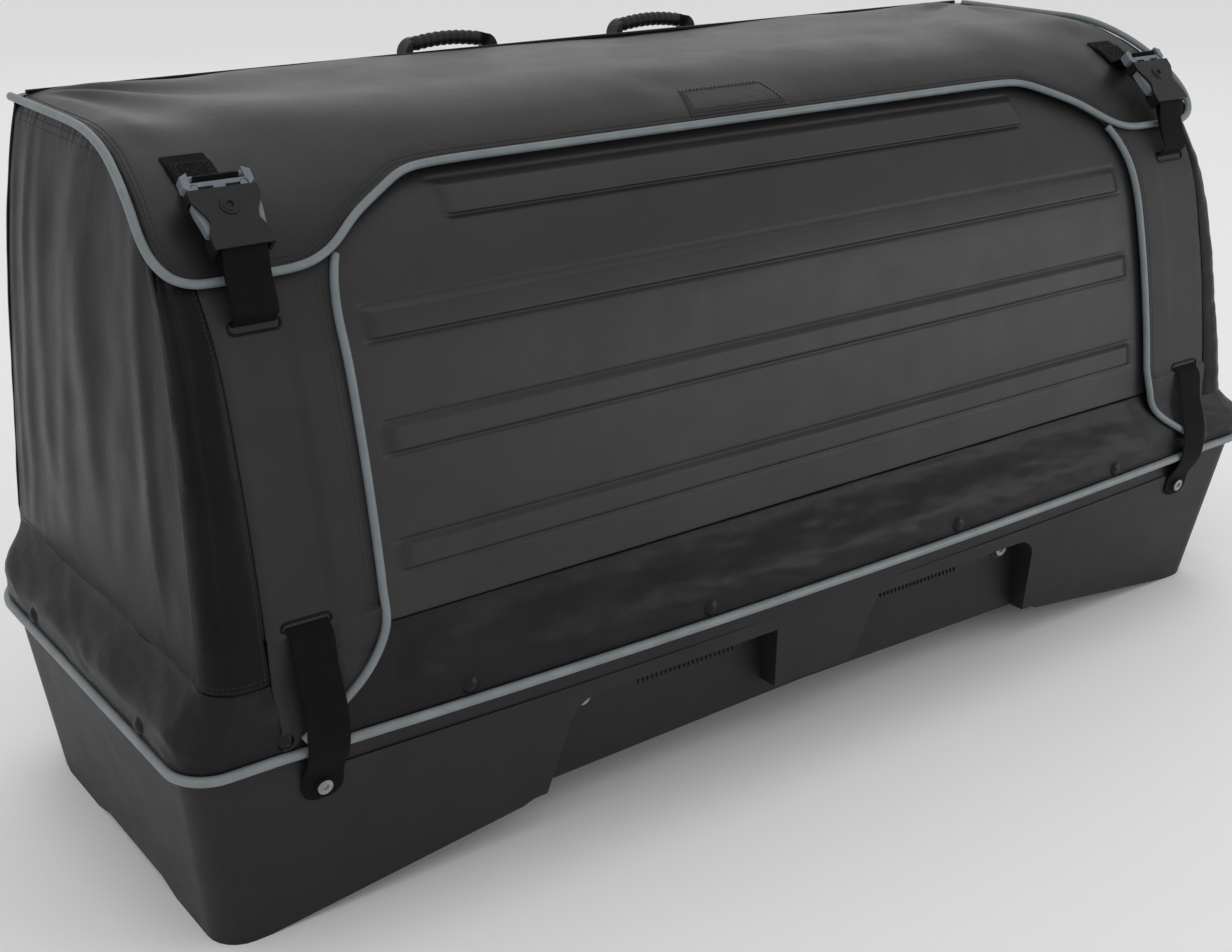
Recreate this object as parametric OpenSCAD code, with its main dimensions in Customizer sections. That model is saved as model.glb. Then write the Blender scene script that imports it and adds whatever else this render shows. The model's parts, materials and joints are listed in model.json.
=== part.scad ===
// Hitch cargo carrier: a moulded tub with a soft upper body, a ribbed front panel and a flap lid.
// X runs along the length, -Y is the front, +Z is up. The origin is under the middle, on the ground.

/* [Tub] */
// Half length of the tub at its base
base_half = 645; // [600:1:700]
// Half length of the tub at its rim
rim_half = 669; // [630:1:730]
// Front face of the tub at its base
base_front = -199; // [-230:1:-170]
// Front face of the rim, at its two ends
rim_front = -228; // [-260:0.5:-205]
// How far the middle of the rim bows forward
front_bow = 15; // [0:1:30]
// Rear face of the tub at its base
base_rear = 232; // [200:1:240]
// Rear face of the rim
rim_rear = 243; // [235:1:260]
// Height where the walls stop flaring and turn upright
flare_z = 186; // [150:1:190]
// Height of the rim
rim_z = 215; // [205:1:230]
// Wall thickness of the tub
tub_wall = 7; // [6:0.5:8]
// Corner radius of the tub
tub_corner = 30; // [20:1:60]
// How much larger the corner radius is at the rear
rear_round = 45; // [0:1:60]
// Depth of the shallow channel under the feet
channel_depth = 9; // [4:1:9]
// Height of the underside arch at the middle
arch_z = 48; // [30:1:52]

/* [Soft body] */
// Height of the top of the skirt
skirt_top_z = 262; // [250:1:275]
// Height of the hem piping
hem_z = 190; // [186:1:200]
// Radius of the piping
piping_r = 4.5; // [3:0.5:6]
// Lean of the side walls from upright, in degrees
side_lean = 6.8; // [2:0.1:10]
// Thickness of the fabric walls
wall_t = 3; // [2:0.5:4]

/* [Front curve] */
// Front face where the curve starts, above the skirt
curve_front = -226; // [-235:1:-215]
// Height where the curve starts
curve_z = 240; // [235:1:250]
// Lean of the panel from upright where the curve starts, in degrees
panel_lean = 5.3; // [3:0.1:8]
// Radius of the long, slow part of the curve
panel_radius = 1475; // [1200:5:1800]
// Lean where the tight shoulder begins, in degrees
shoulder_lean = 14.5; // [12:0.5:18]
// Radius of the shoulder
shoulder_radius = 234; // [200:1:260]

/* [Lid] */
// Half width of the lid at the rear
lid_rear_half = 600; // [580:1:610]
// Half width of the lid at its front corners
lid_front_half = 620; // [605:1:630]
// Half width of the shallow opening in the lid's front edge, at its middle
notch_half = 375; // [300:1:420]
// Front edge of the lid at its corners
lid_corner_y = -146; // [-155:1:-135]
// Front edge of the lid in its middle
lid_middle_y = -86; // [-100:1:-70]
// Hinge line of the lid, in front of the rear edge
lid_hinge_y = 207; // [190:1:215]
// Thickness of the lid
lid_t = 4; // [3:0.5:5]

/* [Front panel] */
// Half width of the ribbed front panel
panel_half = 512; // [480:1:560]
// Thickness of the ribbed front panel
panel_t = 3; // [2:0.5:5]
// Height of each raised rib, up the panel
rib_w = 24; // [16:1:30]
// How far a rib stands proud
rib_h = 4; // [2:0.5:4]
// Height of the panel's hinge line
panel_hinge_z = 267; // [265:1:275]

/* [Straps and buckles] */
// Distance of each buckle from the middle
buckle_x = 556; // [500:1:570]
// Width of the webbing
webbing_w = 38; // [25:1:40]
// Thickness of the webbing
webbing_t = 1.6; // [1.2:0.1:2]
// Tilt of the buckles from horizontal, in degrees
buckle_tilt = 46; // [40:1:52]
// Half width of the buckle at its mouth
buckle_half = 29; // [28:0.5:32]
// Half thickness of the buckle
buckle_t = 7; // [6:0.5:8]
// Distance of each ladder strap's bolt from the middle
ladder_x = 281; // [250:1:295]
// Height of the ladder straps
ladder_z = 127; // [110:1:130]
// Length of a ladder strap from its bolt
ladder_len = 196; // [150:1:200]

/* [Handles] */
// Distance of each handle from the middle
handle_x = 134; // [90:1:400]
// Length of a handle
handle_len = 112; // [100:1:160]
// Height of the top of the handles
handle_top = 664; // [655:1:672]

/* [Hidden] */
$fn = 32;

tub_black = "#2b2c2e";
fabric_black = "#232427";
fabric_grey = "#3a3b3e";
panel_grey = "#38393b";
piping_grey = "#828a8e";
webbing_black = "#141415";
buckle_grey = "#6f777c";
metal_grey = "#9a9c9e";

gap = 0.3;            // clearance between pieces that lie on each other
skirt_gap = 1.3;      // clearance between the rim and the skirt around it
skin = 3;             // thickness of the skirt
wide = 2000;          // longer than anything here, for cutting

// ---- Profile of the front and roof: two arcs and a flat, seen from the side as [y, z] ----
slow_centre = [curve_front + panel_radius * cos(panel_lean), curve_z - panel_radius * sin(panel_lean)];
shoulder_start = slow_centre + panel_radius * [-cos(shoulder_lean), sin(shoulder_lean)];
shoulder_centre = shoulder_start + shoulder_radius * [cos(shoulder_lean), -sin(shoulder_lean)];
roof_z = shoulder_centre[1] + shoulder_radius;

// Front surface at a height, moved out by d
function surface_y(z, d = 0) =
    z < slow_centre[1] + (panel_radius + d) * sin(shoulder_lean)
    ? slow_centre[0] - sqrt(pow(panel_radius + d, 2) - pow(z - slow_centre[1], 2))
    : shoulder_centre[0] - sqrt(pow(shoulder_radius + d, 2) - pow(z - shoulder_centre[1], 2));

// Top surface at a place from front to rear, moved out by d
function surface_z(y, d = 0) =
    y > shoulder_centre[0] ? roof_z + d
    : y > shoulder_centre[0] - (shoulder_radius + d) * cos(shoulder_lean)
    ? shoulder_centre[1] + sqrt(pow(shoulder_radius + d, 2) - pow(y - shoulder_centre[0], 2))
    : slow_centre[1] + sqrt(pow(panel_radius + d, 2) - pow(slow_centre[0] - y, 2));

// Lean of the surface from upright at a height
function surface_lean(z) =
    z < shoulder_start[1]
    ? asin((z - slow_centre[1]) / panel_radius)
    : asin(min(1, (z - shoulder_centre[1]) / shoulder_radius));

// Points of the front and roof curve from a height at the front to a place at the rear
function front_curve(d, low_z, rear_y) = let (
        join_z = slow_centre[1] + (panel_radius + d) * sin(shoulder_lean),
        start = low_z < join_z ? shoulder_lean : asin((low_z - shoulder_centre[1]) / (shoulder_radius + d)),
        slow_steps = low_z < join_z ? 8 : 0,
        turns = 14
    )
    concat(
        [for (i = [0:1:slow_steps - 1]) let (z = low_z + (join_z - low_z) * i / slow_steps) [surface_y(z, d), z]],
        [for (i = [0:turns]) let (a = start + (90 - start) * i / turns)
            shoulder_centre + (shoulder_radius + d) * [-cos(a), sin(a)]],
        rear_y > shoulder_centre[0] ? [[rear_y, roof_z + d]] : []
    );

function reversed(list) = [for (i = [len(list) - 1:-1:0]) list[i]];

// Side wall's outer face at a height
function side_x(z) = side_half - (z - skirt_top_z) * tan(side_lean);
side_half = 642;

// ---- Tub's outline at a height ----
function flare(z) = min(max(z, 0), flare_z) / flare_z;
function tub_half(z) = base_half + (rim_half - base_half) * flare(z);
function tub_front(z) = base_front + (rim_front - base_front) * flare(z);
function tub_rear(z) = base_rear + (rim_rear - base_rear) * flare(z);
bow_half = 593;       // the front is bowed this far out from the middle
// Front face at a height and a distance from the middle
function front_face(z, x) =
    tub_front(z) - front_bow * flare(z) * (1 - pow(min(abs(x), bow_half) / bow_half, 2));

// Extrude a [y, z] shape along X, or an [x, z] shape along Y
module along_x(length) rotate([90, 0, 90]) linear_extrude(length, center = true) children();
module along_y(length) rotate([90, 0, 0]) linear_extrude(length, center = true) children();

// A sheet that follows the front and roof curve between two offsets
module curved_sheet(outer, inner, low_z, rear_y, length)
    along_x(length)
        polygon(concat(front_curve(outer, low_z, rear_y), reversed(front_curve(inner, low_z, rear_y))));

// A level outline with round corners and a bowed front, anticlockwise from the left end of the front;
// the rear corners are rounder than the front ones by "more"
corner_steps = 6;
front_steps = 16;
function outline(z, half, front, rear, bow, r, more = 0) = let (cx = half - r, q = r + more)
    [for (p = concat(
        [for (i = [0:front_steps]) let (x = cx * (2 * i / front_steps - 1))
            [x, front - bow * max(0, 1 - pow(x / bow_half, 2))]],
        [for (i = [1:corner_steps]) [cx, front + r] + r * turned(90 * i / corner_steps - 90)],
        [for (i = [0:corner_steps]) [half - q, rear - q] + q * turned(90 * i / corner_steps)],
        [for (i = [0:corner_steps]) [q - half, rear - q] + q * turned(90 * i / corner_steps + 90)],
        [for (i = [0:corner_steps - 1]) [-cx, front + r] + r * turned(90 * i / corner_steps + 180)]))
        [p[0], p[1], z]];
function turned(a) = [cos(a), sin(a)];

// The tub's outline at a height, grown by g
function tub_ring(z, g) =
    outline(z, tub_half(z) + g, tub_front(z) - g, tub_rear(z) + g, front_bow * flare(z), tub_corner + g,
        rear_round);

// A solid through rings that all have the same number of points; closed joins the last to the first
module loft(rings, closed = false) {
    n = len(rings[0]);
    count = len(rings);
    spans = closed ? count : count - 1;
    walls = [for (k = [0:spans - 1]) for (i = [0:n - 1]) let (
            low = k * n, high = ((k + 1) % count) * n, j = (i + 1) % n)
        each [[low + i, high + i, high + j], [low + i, high + j, low + j]]];
    caps = closed ? [] : [[for (i = [0:n - 1]) i], [for (i = [n - 1:-1:0]) (count - 1) * n + i]];
    polyhedron([for (ring = rings) each ring], concat(walls, caps));
}

// The tub's outer form from its base up, grown by g
module tub_form(high, g)
    hull() loft([tub_ring(0, g), tub_ring(flare_z, g), tub_ring(high, g)]);

// A tube swept along a path of [x, y, z] points
function unit(v) = v / norm(v);
function heading(path, i, closed) = let (n = len(path))
    closed ? unit(path[(i + 1) % n] - path[(i + n - 1) % n])
    : unit(path[min(i + 1, n - 1)] - path[max(i - 1, 0)]);
function ring_at(p, t, r, sides, up) = let (
        a = unit(cross(up, t)),
        b = cross(t, a)
    )
    [for (k = [0:sides - 1]) p + r * (cos(360 * k / sides) * a + sin(360 * k / sides) * b)];
// The direction "up" is one that the path never follows
module sweep_tube(path, r, sides = 8, closed = false, up = [0, 0, 1]) {
    n = len(path);
    points = [for (i = [0:n - 1]) each ring_at(path[i], heading(path, i, closed), r, sides, up)];
    spans = closed ? n : n - 1;
    skins = [for (i = [0:spans - 1]) for (k = [0:sides - 1]) let (
            j = (i + 1) % n, m = (k + 1) % sides)
        [i * sides + k, i * sides + m, j * sides + m, j * sides + k]];
    first = reversed([for (k = [0:sides - 1]) k]);
    last = [for (k = [0:sides - 1]) (n - 1) * sides + k];
    ends = closed ? [] : [first, last];
    polyhedron(points, concat([for (f = skins) reversed(f)], [for (f = ends) reversed(f)]));
}

// The same path with points no further apart than step
function refined(path, step) = concat(
    [for (i = [0:len(path) - 2]) let (n = ceil(norm(path[i + 1] - path[i]) / step))
        each [for (k = [0:n - 1]) path[i] + (path[i + 1] - path[i]) * k / n]],
    [path[len(path) - 1]]);

// A round corner of a path, from angle a0 to a1 about a centre, as [u, v] points
function arc_points(centre, r, a0, a1, steps) =
    [for (i = [0:steps]) let (a = a0 + (a1 - a0) * i / steps) centre + r * [cos(a), sin(a)]];

// ---- Places of the fasteners ----
rivet_z = 200;
rivet_r = 8.5;
rivet_shank_r = 3;
front_rivet_x = [164, 421, 588];
side_rivet_y = [-141, 109];

module front_rivet_places()
    for (s = [-1, 1]) for (x = front_rivet_x)
        translate([s * x, front_face(rivet_z, x) - skin - skirt_gap, rivet_z]) rotate([90, 0, 0]) children();
module side_rivet_places()
    for (s = [-1, 1]) for (y = side_rivet_y)
        translate([s * (tub_half(rivet_z) + skin + skirt_gap), y, rivet_z]) rotate([0, s * 90, 0]) children();
module rear_rivet_places()
    for (s = [-1, 1]) for (x = front_rivet_x)
        translate([s * x, tub_rear(rivet_z) + skin + skirt_gap, rivet_z]) rotate([-90, 0, 0]) children();
module every_rivet_place() {
    front_rivet_places() children();
    side_rivet_places() children();
    rear_rivet_places() children();
}

strap_bolt_z = 145.5;
strap_bolt_r = 4;
front_flare = atan((base_front - rim_front) / flare_z);   // lean of the tub's front face
module strap_bolt_place(side)
    translate([side * buckle_x, front_face(strap_bolt_z, buckle_x), strap_bolt_z])
        rotate([90 + front_flare, 0, 0]) children();

ladder_bolt_r = 3;
recess_y = -197;      // recessed face at the height of the ladder straps
module ladder_place(side)
    translate([side * ladder_x, recess_y, ladder_z]) rotate([90, 0, 0]) children();

// ---- Tub ----
floor_t = 6;
foot_from = 600;      // the flat of each foot starts this far from the middle
foot_step = [350, 36];
recess_half = 332;
recess_top = 143;
block_low_half = 53;
block_high_half = 68;
block_low_z = 68;
block_front = -223;
groove_low_z = 160;
groove_depth = 3;
groove_half = 560;

// Half outline of the underside arch, lifted by h
function arch(h) = [
    [foot_from, h], [foot_step[0], foot_step[1] + h], [recess_half + 6, 41 + h], [0, arch_z + h],
    [-recess_half - 6, 41 + h], [-foot_step[0], foot_step[1] + h], [-foot_from, h],
];

module underside_arch()
    along_y(wide) polygon(concat([[foot_from, -1]], arch(0), [[-foot_from, -1]]));

module foot_channel()
    along_x(wide) polygon([[81, -1], [81, 0], [48, channel_depth],
        [-75, channel_depth], [-103, 0], [-103, -1]]);

// Space in front of the recessed middle of the front face, as [y, z]
module recess_side(back, top)
    polygon([[-300, -1], [back + 8, -1], [back + 6, 45], [back, ladder_z - 17],
        [back, top - 3], [back - 6, top], [-300, top]]);

module front_recess()
    difference() {
        intersection() {
            along_x(wide) recess_side(recess_y, recess_top);
            along_y(wide) polygon(concat(
                [[-recess_half, -1], [recess_half, -1]],
                arc_points([recess_half - 52, recess_top - 30], 30, 0, 90, 6),
                arc_points([52 - recess_half, recess_top - 30], 30, 90, 180, 6)));
        }
        along_y(wide) polygon([[-block_low_half, block_low_z], [block_low_half, block_low_z],
            [block_high_half, recess_top + 1], [-block_high_half, recess_top + 1]]);
    }

// An undercut band below the hem that follows the bowed front
module hem_groove()
    translate([0, 0, groove_low_z]) linear_extrude(flare_z - 1 - groove_low_z) {
        middle_z = (groove_low_z + flare_z) / 2;
        polygon(concat([[groove_half, -320], [-groove_half, -320]],
            [for (i = [-7:7]) let (x = groove_half * i / 7) [x, front_face(middle_z, x) + groove_depth]]));
    }

module cavity()
    difference() {
        intersection() {
            tub_form(rim_z + 1, -tub_wall);
            along_y(wide) polygon(concat(
                [[-700, rim_z + 2], [-700, 15], [-540, 15]],
                [for (p = reversed(arch(floor_t))) if (abs(p[0]) < foot_from) p],
                [[540, 15], [700, 15], [700, rim_z + 2]]));
        }
        along_x(2 * recess_half + 24) recess_side(recess_y + tub_wall, recess_top + 8);
    }

module tub() color(tub_black)
    difference() {
        tub_form(rim_z, 0);
        cavity();
        underside_arch();
        foot_channel();
        front_recess();
        hem_groove();
        every_rivet_place() cylinder(h = 60, r = rivet_shank_r, center = true);
        for (side = [-1, 1]) {
            strap_bolt_place(side) cylinder(h = 60, r = strap_bolt_r, center = true);
            ladder_place(side) cylinder(h = 60, r = ladder_bolt_r, center = true);
        }
    }

// ---- Skirt and hem ----
skirt_front = -223;
function skirt_ring(z, g) = outline(z, rim_half + skirt_gap + g, rim_front - skirt_gap - g,
    rim_rear + skirt_gap + g, front_bow, tub_corner + g, rear_round);
function skirt_top_ring(g) = outline(skirt_top_z, side_half - skin + g, skirt_front + skin - g,
    rim_rear - skin + g, 0, tub_corner - skin + g);

module skirt() color(fabric_black)
    difference() {
        loft([skirt_ring(hem_z, skin), skirt_ring(rim_z + 1, skin), skirt_top_ring(skin),
            skirt_top_ring(0), skirt_ring(rim_z + 1, 0), skirt_ring(hem_z, 0)], closed = true);
        every_rivet_place() cylinder(h = 40, r = rivet_shank_r, center = true);
    }

// The rim's outline as a closed path of [x, y], grown by g
function rim_path(g) = let (
        r = tub_corner + g,
        cx = rim_half - tub_corner,
        cy = rim_front + tub_corner,
        rx = cx - rear_round,
        ry = rim_rear - tub_corner - rear_round
    )
    concat(
        [for (i = [-8:8]) let (x = cx * i / 8)
            [x, rim_front - g - front_bow * max(0, 1 - pow(x / bow_half, 2))]],
        arc_points([cx, cy], r, -72, 0, 5),
        arc_points([rx, ry], r + rear_round, 0, 90, 6),
        arc_points([-rx, ry], r + rear_round, 90, 180, 6),
        arc_points([-cx, cy], r, 180, 252, 5));

module hem_piping() color(piping_grey)
    sweep_tube([for (p = rim_path(piping_r + 1.2)) [p[0], p[1], hem_z - piping_r - gap]], piping_r, 8, true);

module rivet() {
    rivet_cap = 4.2;
    cap_sphere_r = (rivet_r * rivet_r + rivet_cap * rivet_cap) / (2 * rivet_cap);
    intersection() {
        translate([0, 0, rivet_cap - cap_sphere_r]) sphere(r = cap_sphere_r, $fn = 48);
        cylinder(h = rivet_cap + 1, r = rivet_r);
    }
    translate([0, 0, -skin - tub_wall - 2]) cylinder(h = skin + tub_wall + 3, r = rivet_shank_r);
    translate([0, 0, -skin - tub_wall - 3]) cylinder(h = 1.6, r = 7);
}
module front_rivets() color(tub_black) front_rivet_places() rivet();
module side_rivets() color(tub_black) side_rivet_places() rivet();
module rear_rivets() color(tub_black) rear_rivet_places() rivet();

// ---- Soft walls ----
lid_outer = 2;        // the lid's outer face, out from the curve
corner_outer = -3;    // the corner panels' outer face
panel_outer = -8;     // the ribbed panel's outer face
board_outer = lid_outer - lid_t - gap;

module side_wall() color(fabric_black)
    translate([side_half, 0, skirt_top_z + gap]) rotate([0, -side_lean, 0])
        rotate([90, 0, 90]) translate([0, 0, -wall_t]) linear_extrude(wall_t)
            polygon(concat(
                [for (p = front_curve(corner_outer - wall_t - gap, skirt_top_z, rim_rear - 24))
                    [p[0], (min(p[1], roof_z - 6) - skirt_top_z) / cos(side_lean)]],
                [[rear_face(roof_z) - wall_t - gap, (roof_z - 6 - skirt_top_z) / cos(side_lean)],
                    [rear_face(skirt_top_z) - wall_t - gap, 0]]));
module right_wall() side_wall();
module left_wall() mirror([1, 0, 0]) side_wall();

rear_top = 229;       // rear edge of the roof
function rear_face(z) = rim_rear - (rim_rear - rear_top) * (z - skirt_top_z) / (roof_z - skirt_top_z);
rear_half = 600;

module rear_slab(outer, inner, low, high)
    along_x(wide) polygon([
        [rear_face(low) - outer, low], [rear_face(high) - outer, high],
        [rear_face(high) - inner, high], [rear_face(low) - inner, low]]);

module rear_wall() color(fabric_black)
    intersection() {
        union() {
            rear_slab(0, wall_t, skirt_top_z + gap, roof_z + lid_outer);
            translate([-rear_half, lid_hinge_y + gap, roof_z + lid_outer - lid_t])
                cube([2 * rear_half, rear_top - lid_hinge_y - gap - 1, lid_t]);
        }
        along_y(wide) polygon([
            [-side_x(skirt_top_z), skirt_top_z], [side_x(skirt_top_z), skirt_top_z],
            [side_x(roof_z), roof_z + 10], [-side_x(roof_z), roof_z + 10]]);
    }

module rear_board() color(panel_grey)
    intersection() {
        rear_slab(wall_t + gap, wall_t + gap + 3, rim_z + gap, roof_z - 12);
        translate([-560, 0, 0]) cube([1120, 400, 700]);
    }

bead_r = 2;
module hinge_bead() color(fabric_black)
    translate([0, lid_hinge_y, roof_z + lid_outer + bead_r + gap]) rotate([0, 90, 0])
        cylinder(h = 2 * lid_rear_half - 20, r = bead_r, center = true);

// Free edge of a corner panel, as [x, z], from under the lid down to the skirt
free_edge = 489;
panel_foot_z = skirt_top_z + gap;
corner_top_z = 592;
slot_high_z = 521;
slot_low_z = 288.5;
slot_h = 11;

module corner_panel() color(fabric_grey)
    difference() {
        intersection() {
            curved_sheet(corner_outer, corner_outer - wall_t, panel_foot_z, 0, wide);
            along_y(wide) polygon([
                [free_edge, panel_foot_z], [side_x(panel_foot_z) - 1, panel_foot_z],
                [side_x(corner_top_z) - 1, corner_top_z], [free_edge - 60, corner_top_z],
                [free_edge - 10, 560], [free_edge, 530]]);
        }
        for (z = [slot_high_z, slot_low_z])
            translate([buckle_x - webbing_w / 2 - 2, -300, z - slot_h / 2])
                cube([webbing_w + 4, 300, slot_h]);
    }
module right_corner_panel() corner_panel();
module left_corner_panel() mirror([1, 0, 0]) corner_panel();

// The skirt's front face at a height, between hem and panel
function skirt_face(z, x) = let (
        low = front_face(hem_z, x) - skin - skirt_gap,
        t = (z - rim_z) / (skirt_top_z - rim_z)
    )
    z < rim_z ? low : low + (skirt_front - low) * t;

// The piping lies beside the free edge, and crosses in front of the skirt below it
beside = piping_r + 0.1;
panel_piping_path = concat(
    [for (z = [526:-23:296]) [free_edge - beside, surface_y(z, corner_outer + 0.5), z]],
    [for (p = [[free_edge - beside, 276], [free_edge - 3, 262], [free_edge + 8, 246],
            [free_edge + 31, 230], [free_edge + 63, 212], [free_edge + 84, 200]])
        [p[0], min(skirt_face(p[1], p[0]), surface_y(p[1], corner_outer)) - piping_r - gap, p[1]]]);
module panel_piping() color(piping_grey) sweep_tube(panel_piping_path, piping_r - 0.5, 8, up = [1, 0, 0]);
module right_panel_piping() panel_piping();
module left_panel_piping() mirror([1, 0, 0]) panel_piping();

// A rod that holds the side of the soft body up, from the rim over the roof and down the rear
hoop_r = 4;
hoop_in = 15;         // inside the front and roof curve
hoop_turn = 30;
hoop_side = 33;       // inside the side walls, clear of the round corners
function hoop_x(z) = side_x(max(z, skirt_top_z)) - hoop_side;
hoop_rear = rear_top - 14;
hoop_path = concat(
    [for (p = front_curve(-hoop_in, rim_z - 40, 60)) [hoop_x(p[1]), p[0], p[1]]],
    [for (p = arc_points([hoop_rear - hoop_turn, roof_z - hoop_in - hoop_turn], hoop_turn, 90, 0, 6))
        [hoop_x(p[1]), p[0], p[1]]],
    [[hoop_x(420), hoop_rear, 420], [hoop_x(rim_z - 40), hoop_rear, rim_z - 40]]);
module hoop() color(metal_grey) sweep_tube(hoop_path, hoop_r, 10, up = [1, 0, 0]);
module right_hoop() hoop();
module left_hoop() mirror([1, 0, 0]) hoop();

// ---- Ribbed front panel: folds inwards about its bottom edge ----
panel_hinge_y = -213.7;
panel_bead_r = 2.6;
panel_top_y = -50;    // upper edge of the panel, under the lid
rib_rows = [[318, 464], [415, 464], [505, 464], [583, 359]];   // [height, half length]

module rib(z, half) {
    bevel = 8;
    lean = surface_lean(z);
    translate([0, surface_y(z, panel_outer - 0.5), z]) rotate([-lean, 0, 0]) rotate([90, 0, 0])
        hull() {
            translate([-half, -rib_w / 2, 0]) cube([2 * half, rib_w, 0.01]);
            translate([bevel - half, 4 - rib_w / 2, 0]) cube([2 * (half - bevel), rib_w - 8, rib_h + 0.5]);
        }
}

module front_panel() color(panel_grey) {
    intersection() {
        curved_sheet(panel_outer, panel_outer - panel_t, panel_hinge_z, 0, 2 * panel_half);
        translate([-wide / 2, panel_top_y - wide, 0]) cube(wide);
    }
    for (row = rib_rows) rib(row[0], row[1]);
    translate([0, panel_hinge_y, panel_hinge_z]) rotate([0, 90, 0])
        cylinder(h = 2 * panel_half, r = panel_bead_r, center = true);
}

// ---- Lid ----
// The lid's front and side edges seen from above, from the right rear corner round to the middle
function lid_edge() = [
    [lid_rear_half, lid_hinge_y - 1], [lid_rear_half + 1, 60], [lid_rear_half + 6, -30],
    [lid_front_half - 6, -90], [lid_front_half - 1, -124], [lid_front_half - 6, -138],
    [lid_front_half - 18, lid_corner_y + 1], [lid_front_half - 34, lid_corner_y],
    [505, lid_corner_y + 1], [488, lid_corner_y + 4], [470, lid_corner_y + 11], [450, lid_corner_y + 24],
    [notch_half + 25, lid_middle_y - 12], [notch_half + 10, lid_middle_y - 4],
    [notch_half - 12, lid_middle_y - 1], [notch_half - 50, lid_middle_y], [180, lid_middle_y],
];
function other_side(list) = [for (p = reversed(list)) [-p[0], p[1]]];
lid_outline = concat(lid_edge(), other_side(lid_edge()));

module lid() color(fabric_grey)
    intersection() {
        curved_sheet(lid_outer, lid_outer - lid_t, 540, lid_hinge_y - gap, wide);
        linear_extrude(wide) polygon(lid_outline);
    }

module lid_board() color(panel_grey)
    curved_sheet(board_outer, board_outer - 2, 632, lid_hinge_y - 12, 2 * lid_rear_half - 40);

module lid_piping() color(piping_grey)
    sweep_tube([for (i = [0:len(lid_rim) - 1]) lid_rim[i] + piping_out(i)], piping_r, 8);
lid_rim = [for (p = refined(lid_outline, 22)) [p[0], p[1], surface_z(p[1], lid_outer)]];
// The piping sits just past the lid's edge, a little proud of its outer face
piping_lift = 1.8;
function piping_out(i) = let (
        lean = lid_rim[i][1] > shoulder_centre[0] ? 90 : surface_lean(surface_z(lid_rim[i][1])),
        normal = [0, -cos(lean), sin(lean)]
    )
    piping_lift * normal + (piping_r + 1.3) * unit(cross(normal, heading(lid_rim, i, false)));

// Blank stitched patch in the middle of the lid's front
module lid_patch() color(fabric_black)
    intersection() {
        curved_sheet(lid_outer + gap + 0.8, lid_outer + gap, 560, 0, wide);
        linear_extrude(wide) polygon([[-62, lid_middle_y + 6], [62, lid_middle_y + 6],
            [50, lid_middle_y + 44], [-50, lid_middle_y + 44]]);
    }

// ---- Handles on the rear wall ----
handle_low = 600;
handle_depth = 19;
handle_bar = 9;      // thickness of the grip
module handle_shape(inset) {
    half = handle_len / 2 - inset;
    polygon(concat(
        [[-half, handle_low + inset], [half, handle_low + inset]],
        arc_points([half - 16, handle_top - 16 - inset], 16, 0, 80, 5),
        arc_points([16 - half, handle_top - 16 - inset], 16, 100, 180, 5)));
}
module handle_place(side) translate([side * handle_x, rear_face(handle_low) + gap, 0]) children();
module handle(side) color(tub_black)
    handle_place(side) difference() {
        translate([0, handle_depth / 2, 0]) along_y(handle_depth) handle_shape(0);
        translate([0, handle_depth / 2, 0]) along_y(2 * handle_depth)
            intersection() {
                handle_shape(handle_bar);
                translate([-100, handle_low + 22]) square([200, 100]);
            }
        translate([handle_bar - handle_len / 2, -1, handle_low + 22])
            cube([handle_len - 2 * handle_bar, handle_depth - handle_bar + 1, 100]);
        handle_screw_places() cylinder(h = 100, r = 2.5, center = true);
    }
module handle_screw_places()
    for (x = [-38, 38]) translate([x, handle_depth, handle_low + 11]) rotate([-90, 0, 0]) children();
module left_handle() handle(-1);
module right_handle() handle(1);
module handle_screws() color(metal_grey)
    for (side = [-1, 1]) handle_place(side) handle_screw_places() {
        translate([0, 0, gap]) cylinder(h = 2.4, r = 4.5);
        translate([0, 0, 0.5 - handle_depth]) cylinder(h = handle_depth, r = 2.5);
    }

// ---- Buckles: u runs down the buckle, v out of it; the stud is at the origin ----
buckle_y = -131.5;
buckle_z = 604.5;
module buckle_place()
    translate([buckle_x, buckle_y, buckle_z]) rotate([buckle_tilt, 0, 0]) mirror([0, 1, 0]) children();
// Extrude an outline drawn as [x, u] between two depths
module slab(v0, v1) translate([0, 0, v0]) linear_extrude(v1 - v0) children();
function both_sides(half) = concat(half, other_side_flat(half));
function other_side_flat(list) = [for (p = reversed(list)) [-p[0], p[1]]];

plate_t = 2.2;
mouth_u = -17;
rail_end_u = -8;
bar_u = 31;
housing_half = [[buckle_half, mouth_u], [buckle_half, -7], [21, 8], [20, 13], [25, 24], [25, 36]];

module housing() color(tub_black)
    buckle_place() {
        difference() {
            union() {
                for (v = [-buckle_t, buckle_t - plate_t])
                    slab(v, v + plate_t) polygon(both_sides(housing_half));
                for (s = [-1, 1]) {
                    translate([s * (buckle_half - 1.5), (mouth_u + rail_end_u) / 2, 0])
                        cube([3, rail_end_u - mouth_u, 2 * buckle_t - 1], center = true);
                    translate([s * 23.3, bar_u - 0.5, 0]) cube([3.4, 11, 2 * buckle_t - 1], center = true);
                }
                translate([0, bar_u, 0]) rotate([0, 90, 0]) cylinder(h = 45, r = 2.2, center = true);
            }
            cylinder(h = 40, r = stud_r);
        }
    }
module right_buckle_housing() housing();
module left_buckle_housing() mirror([1, 0, 0]) housing();

stud_r = 8;
module stud() color(tub_black)
    buckle_place() difference() {
        translate([0, 0, buckle_t - plate_t]) union() {
            cylinder(h = plate_t + 0.8, r = stud_r);
            cylinder(h = plate_t + 1.6, r = stud_r - 2.5);
        }
        translate([0, 0, buckle_t]) cylinder(h = 10, r = 3.2);
    }
module right_buckle_stud() stud();
module left_buckle_stud() mirror([1, 0, 0]) stud();

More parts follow.
